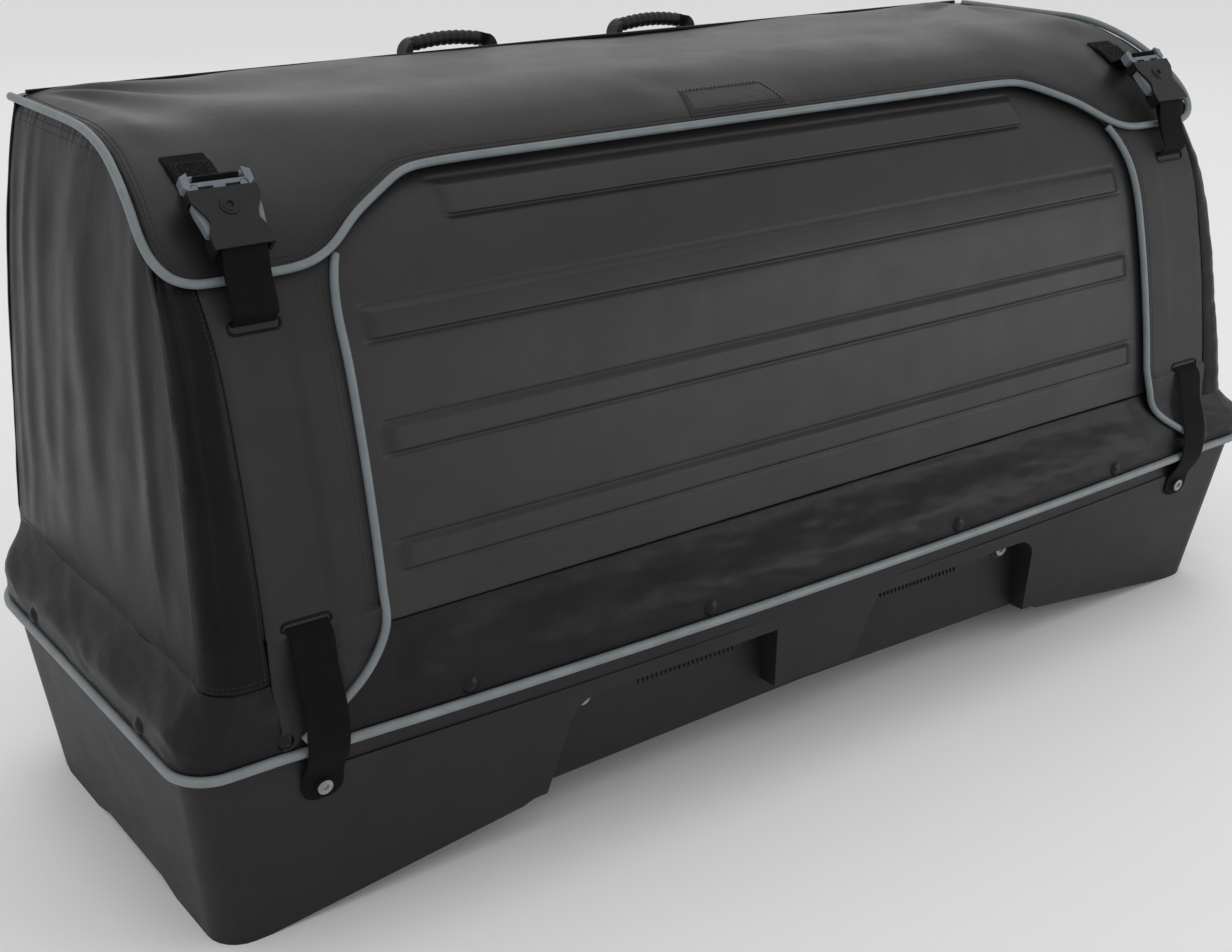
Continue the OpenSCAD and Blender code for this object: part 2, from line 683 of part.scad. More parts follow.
prong_pin_x = 20.5;
prong_pin_u = -20;
frame_top_u = -34;
module buckle_frame() color(buckle_grey)
    buckle_place() {
        difference() {
            union() {
                for (s = [-1, 1])
                    slab(-5, 5) polygon([[s * 22.5, frame_top_u], [s * buckle_half, frame_top_u + 3],
                        [s * buckle_half, mouth_u - 4.5], [s * 25, mouth_u - 0.6],
                        [s * 22.5, mouth_u - 0.6]]);
                translate([-25, mouth_u - 8, -4]) cube([50, 4, 8]);
                translate([-5, mouth_u - 5, -4]) cube([10, 34, 8]);
                translate([0, frame_top_u + 4, 0]) rotate([0, 90, 0]) cylinder(h = 48, r = 2.75, center = true);
            }
            for (s = [-1, 1])
                translate([s * prong_pin_x, prong_pin_u, -20]) cylinder(h = 40, r = 3.2 + gap);
        }
    }
module right_buckle_frame() buckle_frame();
module left_buckle_frame() mirror([1, 0, 0]) buckle_frame();

// A sprung prong with its grip in the waist of the housing
module prong() color(buckle_grey)
    buckle_place() {
        translate([prong_pin_x, prong_pin_u, -4]) cylinder(h = 8, r = 3.2);
        slab(-4, 4) polygon([[18.5, prong_pin_u], [22.5, prong_pin_u], [24, -7.4], [27.4, -7.2],
            [27.2, 2], [25.6, 11], [24.4, 20], [19, 23], [16.5, 20], [16.5, -6]]);
    }
module mirrored_prong() translate([2 * buckle_x, 0, 0]) mirror([1, 0, 0]) prong();
module right_outer_prong() prong();
module right_inner_prong() mirrored_prong();
module left_outer_prong() mirror([1, 0, 0]) prong();
module left_inner_prong() mirror([1, 0, 0]) mirrored_prong();

// Places on the buckle as [y, z]
function on_buckle(u, v) = [
    buckle_y - u * cos(buckle_tilt) - v * sin(buckle_tilt),
    buckle_z - u * sin(buckle_tilt) + v * cos(buckle_tilt),
];

// ---- Webbing ----
// A band of webbing that follows a path of [y, z] points; it lies to the left of the way it runs
function side_step(path, i) = let (
        d = unit(path[min(i + 1, len(path) - 1)] - path[max(i - 1, 0)])
    ) webbing_t / 2 * [-d[1], d[0]];
module band(path, width, x)
    translate([x, 0, 0]) along_x(width)
        polygon(concat(
            [for (i = [0:len(path) - 1]) path[i] + side_step(path, i)],
            reversed([for (i = [0:len(path) - 1]) path[i] - side_step(path, i)])));

loop_r = 2.75 + gap;
module strap_loop(u)
    translate([buckle_x, 0, 0]) difference() {
        translate([0, on_buckle(u, 0)[0], on_buckle(u, 0)[1]]) rotate([0, 90, 0])
            cylinder(h = webbing_w, r = loop_r + webbing_t, center = true);
        translate([0, on_buckle(u, 0)[0], on_buckle(u, 0)[1]]) rotate([0, 90, 0])
            cylinder(h = webbing_w + 2, r = loop_r, center = true);
    }

sewn_from = -50;
sewn_to = -84;
upper_path = concat(
    [for (y = [sewn_from, -60, -72, sewn_to]) [y, surface_z(y, lid_outer + gap + webbing_t / 2)]],
    [on_buckle(frame_top_u + 4, -loop_r - webbing_t / 2) + [6, 3],
        on_buckle(frame_top_u + 4, -loop_r - webbing_t / 2)]);
module upper_strap() color(webbing_black) {
    band(upper_path, webbing_w, buckle_x);
    strap_loop(frame_top_u + 4);
}
module right_upper_strap() upper_strap();
module left_upper_strap() mirror([1, 0, 0]) upper_strap();

behind = corner_outer - wall_t - 2;     // the strap runs this far behind the curve
lower_path = concat(
    [on_buckle(bar_u, loop_r + webbing_t / 2) + [-1, -2], [-158.5, 561], [-169, 532],
        [surface_y(525, 0), 525], [surface_y(517, behind), 517]],
    [for (z = [500:-40:300]) [surface_y(z, behind), z]],
    [[surface_y(292, behind), 292], [surface_y(286, 0), 286], [-226.5, 276], [-231, 250], [-238, 232],
        [-243.4, 218], [-244, 200], [-243.4, 188], [-240, 176], [-233, 164],
        [front_face(157, buckle_x) - 2.8, 156], [front_face(132, buckle_x) - 2.6, 132]]);
module lower_strap() color(webbing_black)
    difference() {
        union() {
            band(lower_path, webbing_w, buckle_x);
            strap_loop(bar_u);
        }
        strap_bolt_place(1) cylinder(h = 60, r = strap_bolt_r, center = true);
    }
module right_lower_strap() lower_strap();
module left_lower_strap() mirror([1, 0, 0]) lower_strap();

// ---- Strap bolts, ladder straps and their bolts ----
module button_bolt(shank_r, length, head_r, head_h, lift) {
    difference() {
        translate([0, 0, lift]) cylinder(h = head_h, r = head_r);
        translate([0, 0, lift + head_h - 1.8]) cylinder(h = 5, r = head_r * 0.42);
    }
    translate([0, 0, -length]) cylinder(h = length + lift + 0.1, r = shank_r);
}
module hex_nut(across, height, bore)
    difference() {
        cylinder(h = height, r = across / 2 / cos(30), $fn = 6);
        translate([0, 0, -1]) cylinder(h = height + 2, r = bore);
    }

strap_bolt_len = 16;
module strap_bolt(side) color(metal_grey)
    strap_bolt_place(side) button_bolt(strap_bolt_r, strap_bolt_len, 7, 4, 4.1);
module left_strap_bolt() strap_bolt(-1);
module right_strap_bolt() strap_bolt(1);
module strap_nuts() color(metal_grey)
    for (side = [-1, 1]) strap_bolt_place(side) translate([0, 0, -13.5]) hex_nut(13, 5, strap_bolt_r);

ladder_w = 19;
ladder_t = 4;
ladder_gap = 0.6;
ladder_ribs = 22;
rib_pitch = 5.5;
module ladder_strap_shape()
    difference() {
        union() {
            cylinder(h = ladder_t + 1.5, r = 12.5);
            translate([0, -ladder_w / 2, 0]) cube([ladder_len, ladder_w, ladder_t]);
            for (i = [0:ladder_ribs - 1])
                translate([ladder_len - 14 - rib_pitch * i, -ladder_w / 2, 0])
                    cube([2.4, ladder_w, ladder_t + 1.8]);
        }
        translate([0, 0, -1]) cylinder(h = 20, r = ladder_bolt_r + 0.25);
    }
// A ladder strap points from its bolt towards the middle block
module ladder_strap(side) color(tub_black)
    ladder_place(side) translate([0, 0, ladder_gap]) rotate([0, 0, side > 0 ? 180 : 0]) ladder_strap_shape();
module left_ladder_strap() ladder_strap(-1);
module right_ladder_strap() ladder_strap(1);
module ladder_bolt(side) color(metal_grey)
    ladder_place(side) button_bolt(ladder_bolt_r, 16, 8, 4, ladder_gap + ladder_t + 1.5 + gap);
module left_ladder_bolt() ladder_bolt(-1);
module right_ladder_bolt() ladder_bolt(1);
module ladder_nuts() color(metal_grey)
    for (side = [-1, 1]) ladder_place(side) translate([0, 0, -14]) hex_nut(10, 5, ladder_bolt_r);

tub();
skirt();
hem_piping();
front_rivets();
side_rivets();
rear_rivets();
left_wall();
right_wall();
rear_wall();
rear_board();
hinge_bead();
left_corner_panel();
right_corner_panel();
left_panel_piping();
right_panel_piping();
left_hoop();
right_hoop();
front_panel();
lid();
lid_board();
lid_piping();
lid_patch();
left_handle();
right_handle();
handle_screws();
left_upper_strap();
right_upper_strap();
left_lower_strap();
right_lower_strap();
left_buckle_frame();
right_buckle_frame();
left_buckle_housing();
right_buckle_housing();
left_outer_prong();
left_inner_prong();
right_outer_prong();
right_inner_prong();
left_buckle_stud();
right_buckle_stud();
left_strap_bolt();
right_strap_bolt();
strap_nuts();
left_ladder_strap();
right_ladder_strap();
left_ladder_bolt();
right_ladder_bolt();
ladder_nuts();
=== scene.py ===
"""Looks of the hitch cargo carrier: cloth, webbing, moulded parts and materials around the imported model.

Lengths are in millimetres until a mesh is made. X runs along the length, -Y is the front and +Z is up.
"""
import json
import math

import bpy
import numpy as np
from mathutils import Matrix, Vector, noise


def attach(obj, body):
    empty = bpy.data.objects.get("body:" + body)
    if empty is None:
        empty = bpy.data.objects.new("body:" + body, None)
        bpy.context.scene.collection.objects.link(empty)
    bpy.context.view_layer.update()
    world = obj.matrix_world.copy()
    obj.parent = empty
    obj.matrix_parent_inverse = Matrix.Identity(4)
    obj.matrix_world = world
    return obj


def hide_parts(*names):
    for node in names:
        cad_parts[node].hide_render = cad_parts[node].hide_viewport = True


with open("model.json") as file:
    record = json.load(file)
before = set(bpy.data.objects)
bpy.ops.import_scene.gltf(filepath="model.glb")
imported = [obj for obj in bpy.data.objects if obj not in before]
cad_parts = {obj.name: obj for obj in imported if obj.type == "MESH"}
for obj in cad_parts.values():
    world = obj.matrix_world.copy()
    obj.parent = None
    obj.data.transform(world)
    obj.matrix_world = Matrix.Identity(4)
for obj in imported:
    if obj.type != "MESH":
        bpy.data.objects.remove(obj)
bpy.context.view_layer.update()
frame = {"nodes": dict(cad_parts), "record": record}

MM = 0.001
SIDES = (("left", -1), ("right", 1))


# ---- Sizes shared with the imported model, in millimetres ----
ROOF_Z = 648.47
SLOW_CENTRE = (1242.69, 103.75)       # the front panel's long curve, as (y, z)
SLOW_RADIUS = 1475.0
SHOULDER_LEAN = math.radians(14.5)
SHOULDER_CENTRE = (41.22, 414.47)
SHOULDER_RADIUS = 234.0
LID_OUT = 2.0                         # how far each skin stands out from the front and roof curve
CORNER_OUT = -3.0
PANEL_OUT = -8.0

HEM_Z = 190.0
RIM_Z = 215.0
SKIRT_TOP_Z = 252.0                   # top of the skirt, tucked under the walls
SKIRT_FRONT_TOP_Z = 267.0             # and where it meets the ribbed panel
RIM = dict(half=673.3, front=-232.3, rear=247.3, bow=15.0, corner=34.3, rear_corner=79.3)
WAIST = dict(half=641.0, front=-219.0, rear=241.0, bow=0.0, corner=28.0, rear_corner=28.0)
BOW_HALF = 593.0

WALL_FOOT_Z = 246.0
FREE_EDGE = 489.0
CORNER_TOP_Z = 592.0
CORNER_SEAM = 592.0                   # the corner panel ends here, where the side wall wraps round
FRONT_CORNER = 30.0                   # corner radii of the soft body
REAR_CORNER = 22.0
REAR_LOW, REAR_HIGH = 243.0, 229.0    # rear face at the waist and at the roof
WAIST_Z = 262.0
SIDE_FOOT_Z, SIDE_RISE = 255.0, 393.0
SIDE_HALF, SIDE_LEAN, SIDE_SHOULDER = 643.0, 27.0, 16.0    # at the foot, and how much less at the top
SLOT_HEIGHTS = (521.0, 288.5)

LID_HINGE_Y = 207.0
LID_REAR_Y = 206.0
LID_HALF = 619.0                      # at its widest, near the front
# Half width of the lid at places from rear to front, as (y, half width).
LID_SIDE = [(LID_REAR_Y, 600), (60, 601), (-30, 606), (-90, 614), (-124, LID_HALF)]
# Front edge of the lid from the middle outwards, as (x, y).
LID_FRONT = [(0, -86), (325, -86), (363, -87), (385, -90), (400, -98), (450, -122), (470, -135),
             (488, -142), (505, -145), (586, -146), (602, -145), (614, -138), (LID_HALF, -124)]
PIPING_R = 3.7                        # piping on the lid and the corner panels
HEM_R = 4.5                           # and the hem's

PANEL_HALF = 512.0
PANEL_FOOT_Z = 267.0
RIBS = [(318, 464), (415, 464), (505, 464), (583, 359)]    # (height, half length)
RIB_W, RIB_H = 24.0, 4.0

STRAP_X = 556.0
STRAP_W = 38.0
BUCKLE_Y, BUCKLE_Z = -131.5, 604.5
BUCKLE_TILT = math.radians(46)
RIVET_Z = 200.0
RIVET_X = (164, 421, 588)
RIVET_SIDE_Y = (-141, 109)
RIVET_FRONT_Y = -228.0                # at the ends of the bowed front

HANDLE_X = 134.0
GRIP_OUT = 14.0                       # behind the rear face at GRIP_FOOT_Z
GRIP_FOOT_Z, GRIP_Z = 600.0, 656.0
GRIP_HALF, GRIP_RISE = 45.0, 4.5
GRIP_R, GRIP_RIDGE = 7.2, 0.45


# ---- Shape of the soft body ----
def surface_y(z, out=0.0):
    """Front face at a height, moved out."""
    if z < SLOW_CENTRE[1] + (SLOW_RADIUS + out) * math.sin(SHOULDER_LEAN):
        return SLOW_CENTRE[0] - math.sqrt((SLOW_RADIUS + out) ** 2 - (z - SLOW_CENTRE[1]) ** 2)
    rise = min(z - SHOULDER_CENTRE[1], SHOULDER_RADIUS + out)
    return SHOULDER_CENTRE[0] - math.sqrt((SHOULDER_RADIUS + out) ** 2 - rise ** 2)


def surface_z(y, out=0.0):
    """Top face at a place from front to rear, moved out."""
    if y > SHOULDER_CENTRE[0]:
        return ROOF_Z + out
    if y > SHOULDER_CENTRE[0] - (SHOULDER_RADIUS + out) * math.cos(SHOULDER_LEAN):
        reach = y - SHOULDER_CENTRE[0]
        return SHOULDER_CENTRE[1] + math.sqrt((SHOULDER_RADIUS + out) ** 2 - reach ** 2)
    return SLOW_CENTRE[1] + math.sqrt((SLOW_RADIUS + out) ** 2 - (SLOW_CENTRE[0] - y) ** 2)


def outward(y):
    """Unit (y, z) that points out of the front and roof curve."""
    if y > SHOULDER_CENTRE[0]:
        return 0.0, 1.0
    step = 1.0
    rise = surface_z(y + step) - surface_z(y - step)
    length = math.hypot(2 * step, rise)
    return -rise / length, 2 * step / length


def side_face(z):
    """Side wall's outer face at a height: nearly straight, with a round shoulder at the top."""
    t = (z - SIDE_FOOT_Z) / SIDE_RISE
    return SIDE_HALF - SIDE_LEAN * t - SIDE_SHOULDER * t ** 5


def rear_face(z):
    """Rear face at a height: it leans in towards the roof."""
    return REAR_LOW - (REAR_LOW - REAR_HIGH) * (z - WAIST_Z) / (ROOF_Z - WAIST_Z)


def between(value, pairs):
    """Straight-line look-up in (key, value) pairs, sorted by key."""
    keys = [p[0] for p in pairs]
    return float(np.interp(value, keys, [p[1] for p in pairs]))


def bump(distance, width):
    """1 at distance 0, falling to nothing at about twice the width."""
    return math.exp(-(distance / width) ** 2)


def smooth(t):
    """An even step from 0 to 1 as t goes from 0 to 1."""
    t = min(max(t, 0.0), 1.0)
    return t * t * (3 - 2 * t)


def soft_noise(x, y, seed, scale):
    """Smooth noise from -1 to 1 with features about `scale` millimetres across."""
    return noise.noise(Vector((x / scale, y / scale, seed * 7.31)))


# ---- Mesh helpers ----
def mesh_object(name, points, faces):
    """A smooth-shaded mesh from points in millimetres."""
    data = bpy.data.meshes.new(name)
    data.from_pydata([tuple(c * MM for c in p) for p in points], [], faces)
    data.validate()
    data.shade_smooth()
    obj = bpy.data.objects.new(name, data)
    bpy.context.scene.collection.objects.link(obj)
    return obj


def apply_modifiers(obj):
    """Make the modifiers' result the object's own mesh."""
    bpy.context.view_layer.update()
    graph = bpy.context.evaluated_depsgraph_get()
    data = bpy.data.meshes.new_from_object(obj.evaluated_get(graph), depsgraph=graph)
    obj.modifiers.clear()
    obj.data = data


def grid_sheet(name, place, across, along, thickness=1.6, closed=False, flip=False):
    """A sheet of cloth through place(u, v), with u across and v along it, both from 0 to 1."""
    columns = across if closed else across + 1
    points = np.array([[place(i / across, j / along) for i in range(columns)] for j in range(along + 1)])
    faces, corners = [], []
    for j in range(along):
        for i in range(across):
            k = (i + 1) % columns
            ring = [(j, i), (j, k), (j + 1, k), (j + 1, i)]
            uv = [(j, i), (j, i + 1), (j + 1, i + 1), (j + 1, i)]
            if flip:
                ring, uv = ring[::-1], uv[::-1]
            faces.append([a * columns + b for a, b in ring])
            corners.extend(uv)
    obj = mesh_object(name, points.reshape(-1, 3), faces)
    wrapped = np.concatenate([points, points[:, :1]], axis=1) if closed else points
    runs = np.linalg.norm(np.diff(wrapped, axis=1), axis=2)
    rises = np.linalg.norm(np.diff(points, axis=0), axis=2)
    width, length = runs.sum(axis=1).max(), rises.sum(axis=0).max()
    layer = obj.data.uv_layers.new(name="cloth")
    flat = [c * MM for a, b in corners for c in (b / across * width, a / along * length)]
    layer.data.foreach_set("uv", flat)
    area = sum(p.area for p in obj.data.polygons)
    obj["cut"] = [width * MM, length * MM, area]
    shell = obj.modifiers.new("thickness", "SOLIDIFY")
    shell.thickness = thickness * MM
    shell.offset = -1
    return obj


def tube(name, path, radius, sides=14, closed=False):
    """A round tube along a path of points; the radius is one number, or one for each point."""
    path = [Vector(p) for p in path]
    count = len(path)
    radii = radius if isinstance(radius, list) else [radius] * count
    points, faces = [], []
    first_run = path[1] - path[0]
    a = Vector((1, 0, 0)) if abs(first_run.x) < 0.7 * first_run.length else Vector((0, 0, 1))
    for i, p in enumerate(path):
        ahead = path[(i + 1) % count] if closed else path[min(i + 1, count - 1)]
        behind = path[i - 1] if closed else path[max(i - 1, 0)]
        run = (ahead - behind).normalized()
        a = (a - run * a.dot(run)).normalized()
        b = run.cross(a)
        for k in range(sides):
            turn = 2 * math.pi * k / sides
            points.append(p + radii[i] * (math.cos(turn) * a + math.sin(turn) * b))
    for i in range(count if closed else count - 1):
        j = (i + 1) % count
        for k in range(sides):
            m = (k + 1) % sides
            faces.append([i * sides + k, i * sides + m, j * sides + m, j * sides + k])
    if not closed:
        faces.append(list(range(sides))[::-1])
        faces.append([(count - 1) * sides + k for k in range(sides)])
    return mesh_object(name, points, faces)


def eased(path, steps=6):
    """A smooth curve through the points of a path."""
    p = [Vector(q) for q in path]
    p = [2 * p[0] - p[1]] + p + [2 * p[-1] - p[-2]]
    curve = []
    for i in range(1, len(p) - 2):
        for k in range(steps):
            t = k / steps
            curve.append(0.5 * (2 * p[i] + (p[i + 1] - p[i - 1]) * t
                                + (2 * p[i - 1] - 5 * p[i] + 4 * p[i + 1] - p[i + 2]) * t ** 2
                                + (3 * p[i] - 3 * p[i + 1] + p[i + 2] - p[i - 1]) * t ** 3))
    curve.append(p[-2])
    return curve


def evenly(path, pitch):
    """Points a fixed distance apart along a path."""
    path = np.array([tuple(p) for p in path], float)
    runs = np.concatenate([[0], np.cumsum(np.linalg.norm(np.diff(path, axis=0), axis=1))])
    marks = np.linspace(0, runs[-1], max(2, int(runs[-1] / pitch) + 1))
    return [Vector([np.interp(m, runs, path[:, c]) for c in range(3)]) for m in marks]


def close_loop(points):
    """The same points with the first one again at the end."""
    return points + points[:1]


def rounded_off(path, reach):
    """The same open path with its corners rounded: each point becomes the mean of its neighbours."""
    count = len(path)
    mean = []
    for i in range(count):
        near = min(reach, i, count - 1 - i)
        part = path[i - near:i + near + 1]
        mean.append(sum((Vector(p) for p in part), Vector()) / len(part))
    return mean


def stitches(name, rows, pitch=4.4, share=0.68, radius=0.38):
    """Rows of short raised threads along paths; each thread fills a share of the pitch."""
    sides = 5
    ends = ((0, 0.35), (0.2, 1), (0.8, 1), (1, 0.35))      # (share of the length, share of the radius)
    points, faces = [], []
    for row in rows:
        marks = evenly(row, pitch)
        for a, b in zip(marks, marks[1:]):
            run = b - a
            if run.length < 1e-6:
                continue
            side = run.cross(Vector((0.31, 0.17, 0.93))).normalized()
            up = side.cross(run).normalized()
            base = len(points)
            for t, r in ends:
                centre = a + run * (share * t)
                for k in range(sides):
                    turn = 2 * math.pi * k / sides
                    points.append(centre + radius * r * (math.cos(turn) * side + math.sin(turn) * up))
            for j in range(len(ends) - 1):
                near, far = base + j * sides, base + (j + 1) * sides
                for k in range(sides):
                    m = (k + 1) % sides
                    faces.append([near + k, near + m, far + m, far + k])
            faces.append([base + k for k in range(sides)][::-1])
            faces.append([far + k for k in range(sides)])
    return mesh_object(name, points, faces)


def ribbon(name, path, width, thick, x, end_corner=0.0):
    """Flat webbing that follows (y, z) points; its edges are thin and its last corners can be round."""
    pitch = 1.5
    path = evenly(eased([(0, y, z) for y, z in path]), pitch)
    upper = [(-0.96, 0.4), (-0.84, 0.5), (-0.3, 0.5), (0.3, 0.5), (0.84, 0.5), (0.96, 0.4)]
    section = [(-1, 0)] + upper + [(1, 0)] + [(a, -b) for a, b in upper[::-1]]
    count, sides = len(path), len(section)
    points, faces, uv = [], [], []
    for i, p in enumerate(path):
        run = (path[min(i + 1, count - 1)] - path[max(i - 1, 0)]).normalized()
        across = Vector((0, -run.z, run.y))
        inside = max(0.0, end_corner - (count - 1 - i) * pitch)
        half = width / 2 - end_corner + math.sqrt(end_corner ** 2 - inside ** 2)
        for a, b in section:
            points.append(p + Vector((x + a * half, 0, 0)) + across * (b * thick))
            uv.append((a * half * MM, i * pitch * MM))
    for i in range(count - 1):
        for k in range(sides):
            m = (k + 1) % sides
            faces.append([i * sides + k, i * sides + m, (i + 1) * sides + m, (i + 1) * sides + k])
    faces.append(list(range(sides))[::-1])
    faces.append([(count - 1) * sides + k for k in range(sides)])
    obj = mesh_object(name, points, faces)
    layer = obj.data.uv_layers.new(name="cloth")
    for loop in obj.data.loops:
        layer.data[loop.index].uv = uv[loop.vertex_index]
    obj.data.set_sharp_from_angle(angle=math.radians(70))
    return obj


def softened(node, name, width, segments=3, angle=28):
    """A copy of a CAD node with its edges rounded; it stands for the node."""
    data = frame["nodes"][node].data.copy()
    data.materials.clear()
    obj = bpy.data.objects.new(name, data)
    bpy.context.scene.collection.objects.link(obj)
    data.shade_smooth()
    data.set_sharp_from_angle(angle=math.radians(angle))
    weld = obj.modifiers.new("weld", "WELD")
    weld.merge_threshold = 0.02 * MM
    flats = obj.modifiers.new("flats", "DECIMATE")
    flats.decimate_type = "DISSOLVE"
    flats.angle_limit = math.radians(0.6)
    edge = obj.modifiers.new("rounded", "BEVEL")
    edge.width = width * MM
    edge.segments = segments
    edge.limit_method = "ANGLE"
    edge.angle_limit = math.radians(angle)
    edge.use_clamp_overlap = True
    edge.miter_outer = "MITER_ARC"
    even = obj.modifiers.new("even", "WEIGHTED_NORMAL")
    even.weight = 90
    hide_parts(node)
    return obj


# ---- Materials ----
def material(name, colour, rough, mottle=0.2, mottle_size=70.0, layers=(), **sockets):
    """A surface with clouded colour and uneven gloss; layers are bumps of (kind, size, depth) in mm."""
    mat = bpy.data.materials.new(name)
    mat.use_nodes = True
    nodes, links = mat.node_tree.nodes, mat.node_tree.links
    shader = nodes["Principled BSDF"]
    for socket, value in sockets.items():
        shader.inputs[socket.replace("_", " ")].default_value = value
    place = nodes.new("ShaderNodeTexCoord")

    def texture(kind, size, vector="Object", **settings):
        node = nodes.new(kind)
        links.new(place.outputs[vector], node.inputs["Vector"])
        node.inputs["Scale"].default_value = size
        for key, value in settings.items():
            if key in node.inputs:
                node.inputs[key].default_value = value
            else:
                setattr(node, key, value)
        return node

    cloud = texture("ShaderNodeTexNoise", 1 / (mottle_size * MM), Detail=5.0, Roughness=0.6)
    ramp = nodes.new("ShaderNodeValToRGB")
    ramp.color_ramp.elements[0].position = 0.32
    ramp.color_ramp.elements[1].position = 0.68
    for element, level in zip(ramp.color_ramp.elements, (1 - mottle, 1 + mottle)):
        element.color = [c * level for c in colour] + [1]
    links.new(cloud.outputs[0], ramp.inputs["Fac"])
    links.new(ramp.outputs["Color"], shader.inputs["Base Color"])

    patchy = texture("ShaderNodeTexNoise", 1 / (mottle_size * 0.35 * MM), Detail=3.0)
    gloss = nodes.new("ShaderNodeMapRange")
    gloss.inputs["To Min"].default_value = max(0.05, rough - 0.07)
    gloss.inputs["To Max"].default_value = min(1.0, rough + 0.07)
    links.new(patchy.outputs[0], gloss.inputs["Value"])
    links.new(gloss.outputs["Result"], shader.inputs["Roughness"])

    previous = None
    for kind, size, depth in layers:
        if kind == "grain":
            height = texture("ShaderNodeTexNoise", 1 / (size * MM), Detail=2.0).outputs[0]
        elif kind == "pebble":
            cells = texture("ShaderNodeTexVoronoi", 1 / (size * MM), feature="SMOOTH_F1")
            height = cells.outputs["Distance"]
        else:
            height = woven(nodes, links, texture, size)
        relief = nodes.new("ShaderNodeBump")
        relief.inputs["Distance"].default_value = depth * MM
        links.new(height, relief.inputs["Height"])
        if previous:
            links.new(previous.outputs["Normal"], relief.inputs["Normal"])
        previous = relief
    if previous:
        links.new(previous.outputs["Normal"], shader.inputs["Normal"])
    return mat


def woven(nodes, links, texture, pitch):
    """Plain weave in the cloth's own flat coordinates: over and under threads take turns."""
    wave_scale = 2 * math.pi / (20 * pitch * MM)
    warp = texture("ShaderNodeTexWave", wave_scale, "UV", bands_direction="X")
    weft = texture("ShaderNodeTexWave", wave_scale, "UV", bands_direction="Y")
    turn = texture("ShaderNodeTexChecker", 1 / (pitch * MM), "UV")
    mix = nodes.new("ShaderNodeMix")
    links.new(turn.outputs["Fac"], mix.inputs["Factor"])
    links.new(warp.outputs["Fac"], mix.inputs["A"])
    links.new(weft.outputs["Fac"], mix.inputs["B"])
    return mix.outputs["Result"]


def grey(level, warm=0.0):
    """A grey of a given level; a warm one has more red than blue."""
    return (level * (1 + warm), level, level * (1 - warm))


TUB = material("tub_plastic", grey(0.011), 0.52, 0.22, 90, [("grain", 1.1, 0.05), ("pebble", 2.4, 0.04)],
               Specular_IOR_Level=0.28)
ROOF = material("roof_cloth", grey(0.007, -0.01), 0.41, 0.18, 120,
                [("weave", 1.1, 0.05), ("grain", 9.0, 0.18)],
                Specular_IOR_Level=0.34, Sheen_Weight=0.03, Sheen_Roughness=0.4)
TARP = material("side_cloth", grey(0.0055), 0.3, 0.3, 80, [("weave", 1.1, 0.04), ("grain", 7.0, 0.2)],
                Specular_IOR_Level=0.11)
SKIRT = material("skirt_cloth", grey(0.006), 0.38, 0.3, 60, [("weave", 1.1, 0.04), ("grain", 6.0, 0.25)],
                 Specular_IOR_Level=0.2)
RIVET = material("rivet_black", grey(0.003), 0.34, 0.2, 10, [("grain", 1.0, 0.03)],
                 Specular_IOR_Level=0.22)
SMOOTH_CLOTH = material("corner_cloth", (0.0135, 0.0135, 0.015), 0.5, 0.2, 90,
                        [("weave", 1.1, 0.05), ("grain", 12.0, 0.12)],
                        Specular_IOR_Level=0.3, Sheen_Weight=0.04)
RIBBED = material("ribbed_panel", grey(0.019), 0.46, 0.14, 110,
                  [("pebble", 1.3, 0.07), ("grain", 0.8, 0.04)], Specular_IOR_Level=0.33)
PIPING = material("piping", (0.145, 0.17, 0.18), 0.45, 0.12, 25,
                  [("grain", 2.2, 0.12), ("grain", 6.0, 0.2)])
HEM = material("hem_piping", (0.17, 0.19, 0.20), 0.45, 0.14, 30,
               [("grain", 2.2, 0.12), ("grain", 6.0, 0.2)])
WEBBING = material("webbing", grey(0.0028), 0.75, 0.3, 30, [("weave", 1.3, 0.22)], Specular_IOR_Level=0.12)
THREAD = material("thread", grey(0.02), 0.6, 0.3, 8, [("grain", 0.4, 0.1)], Specular_IOR_Level=0.3)
ACETAL = material("buckle_black", grey(0.004), 0.42, 0.2, 14, [("grain", 0.7, 0.03)],
                  Specular_IOR_Level=0.3)
ACETAL_GREY = material("buckle_grey", (0.13, 0.15, 0.17), 0.4, 0.14, 14, [("grain", 0.7, 0.03)])
STEEL = material("steel", grey(0.3), 0.34, 0.2, 9, [("grain", 0.5, 0.02)], Metallic=1.0)
ROD = material("rod", grey(0.04), 0.45, 0.2, 12, [("grain", 1.0, 0.03)])
BOARD = material("board", grey(0.03), 0.6, 0.2, 40, [("pebble", 2.0, 0.08)])


# ---- Putting pieces on their bodies ----
node_body = {n: body for body, names in frame["record"]["behaviour"]["bodies"].items() for n in names}


def finish_piece(obj, mat, body, *nodes):
    """Give a piece its material and body, and hide the CAD nodes it stands for."""
    obj.data.materials.append(mat)
    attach(obj, body)
    if nodes:
        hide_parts(*nodes)
    return obj


def recolour(mat, *nodes):
    """Give CAD nodes that show as they are a material of this script."""
    for n in nodes:
        data = frame["nodes"][n].data
        data.materials.clear()
        data.materials.append(mat)


# ---- Lid ----
def lid_half(y):
    """Half width of the lid at a place from front to rear."""
    return between(-y, [(-a, b) for a, b in LID_SIDE])


def lid_front(x):
    """Front edge of the lid at a place along it."""
    return between(abs(x), LID_FRONT)


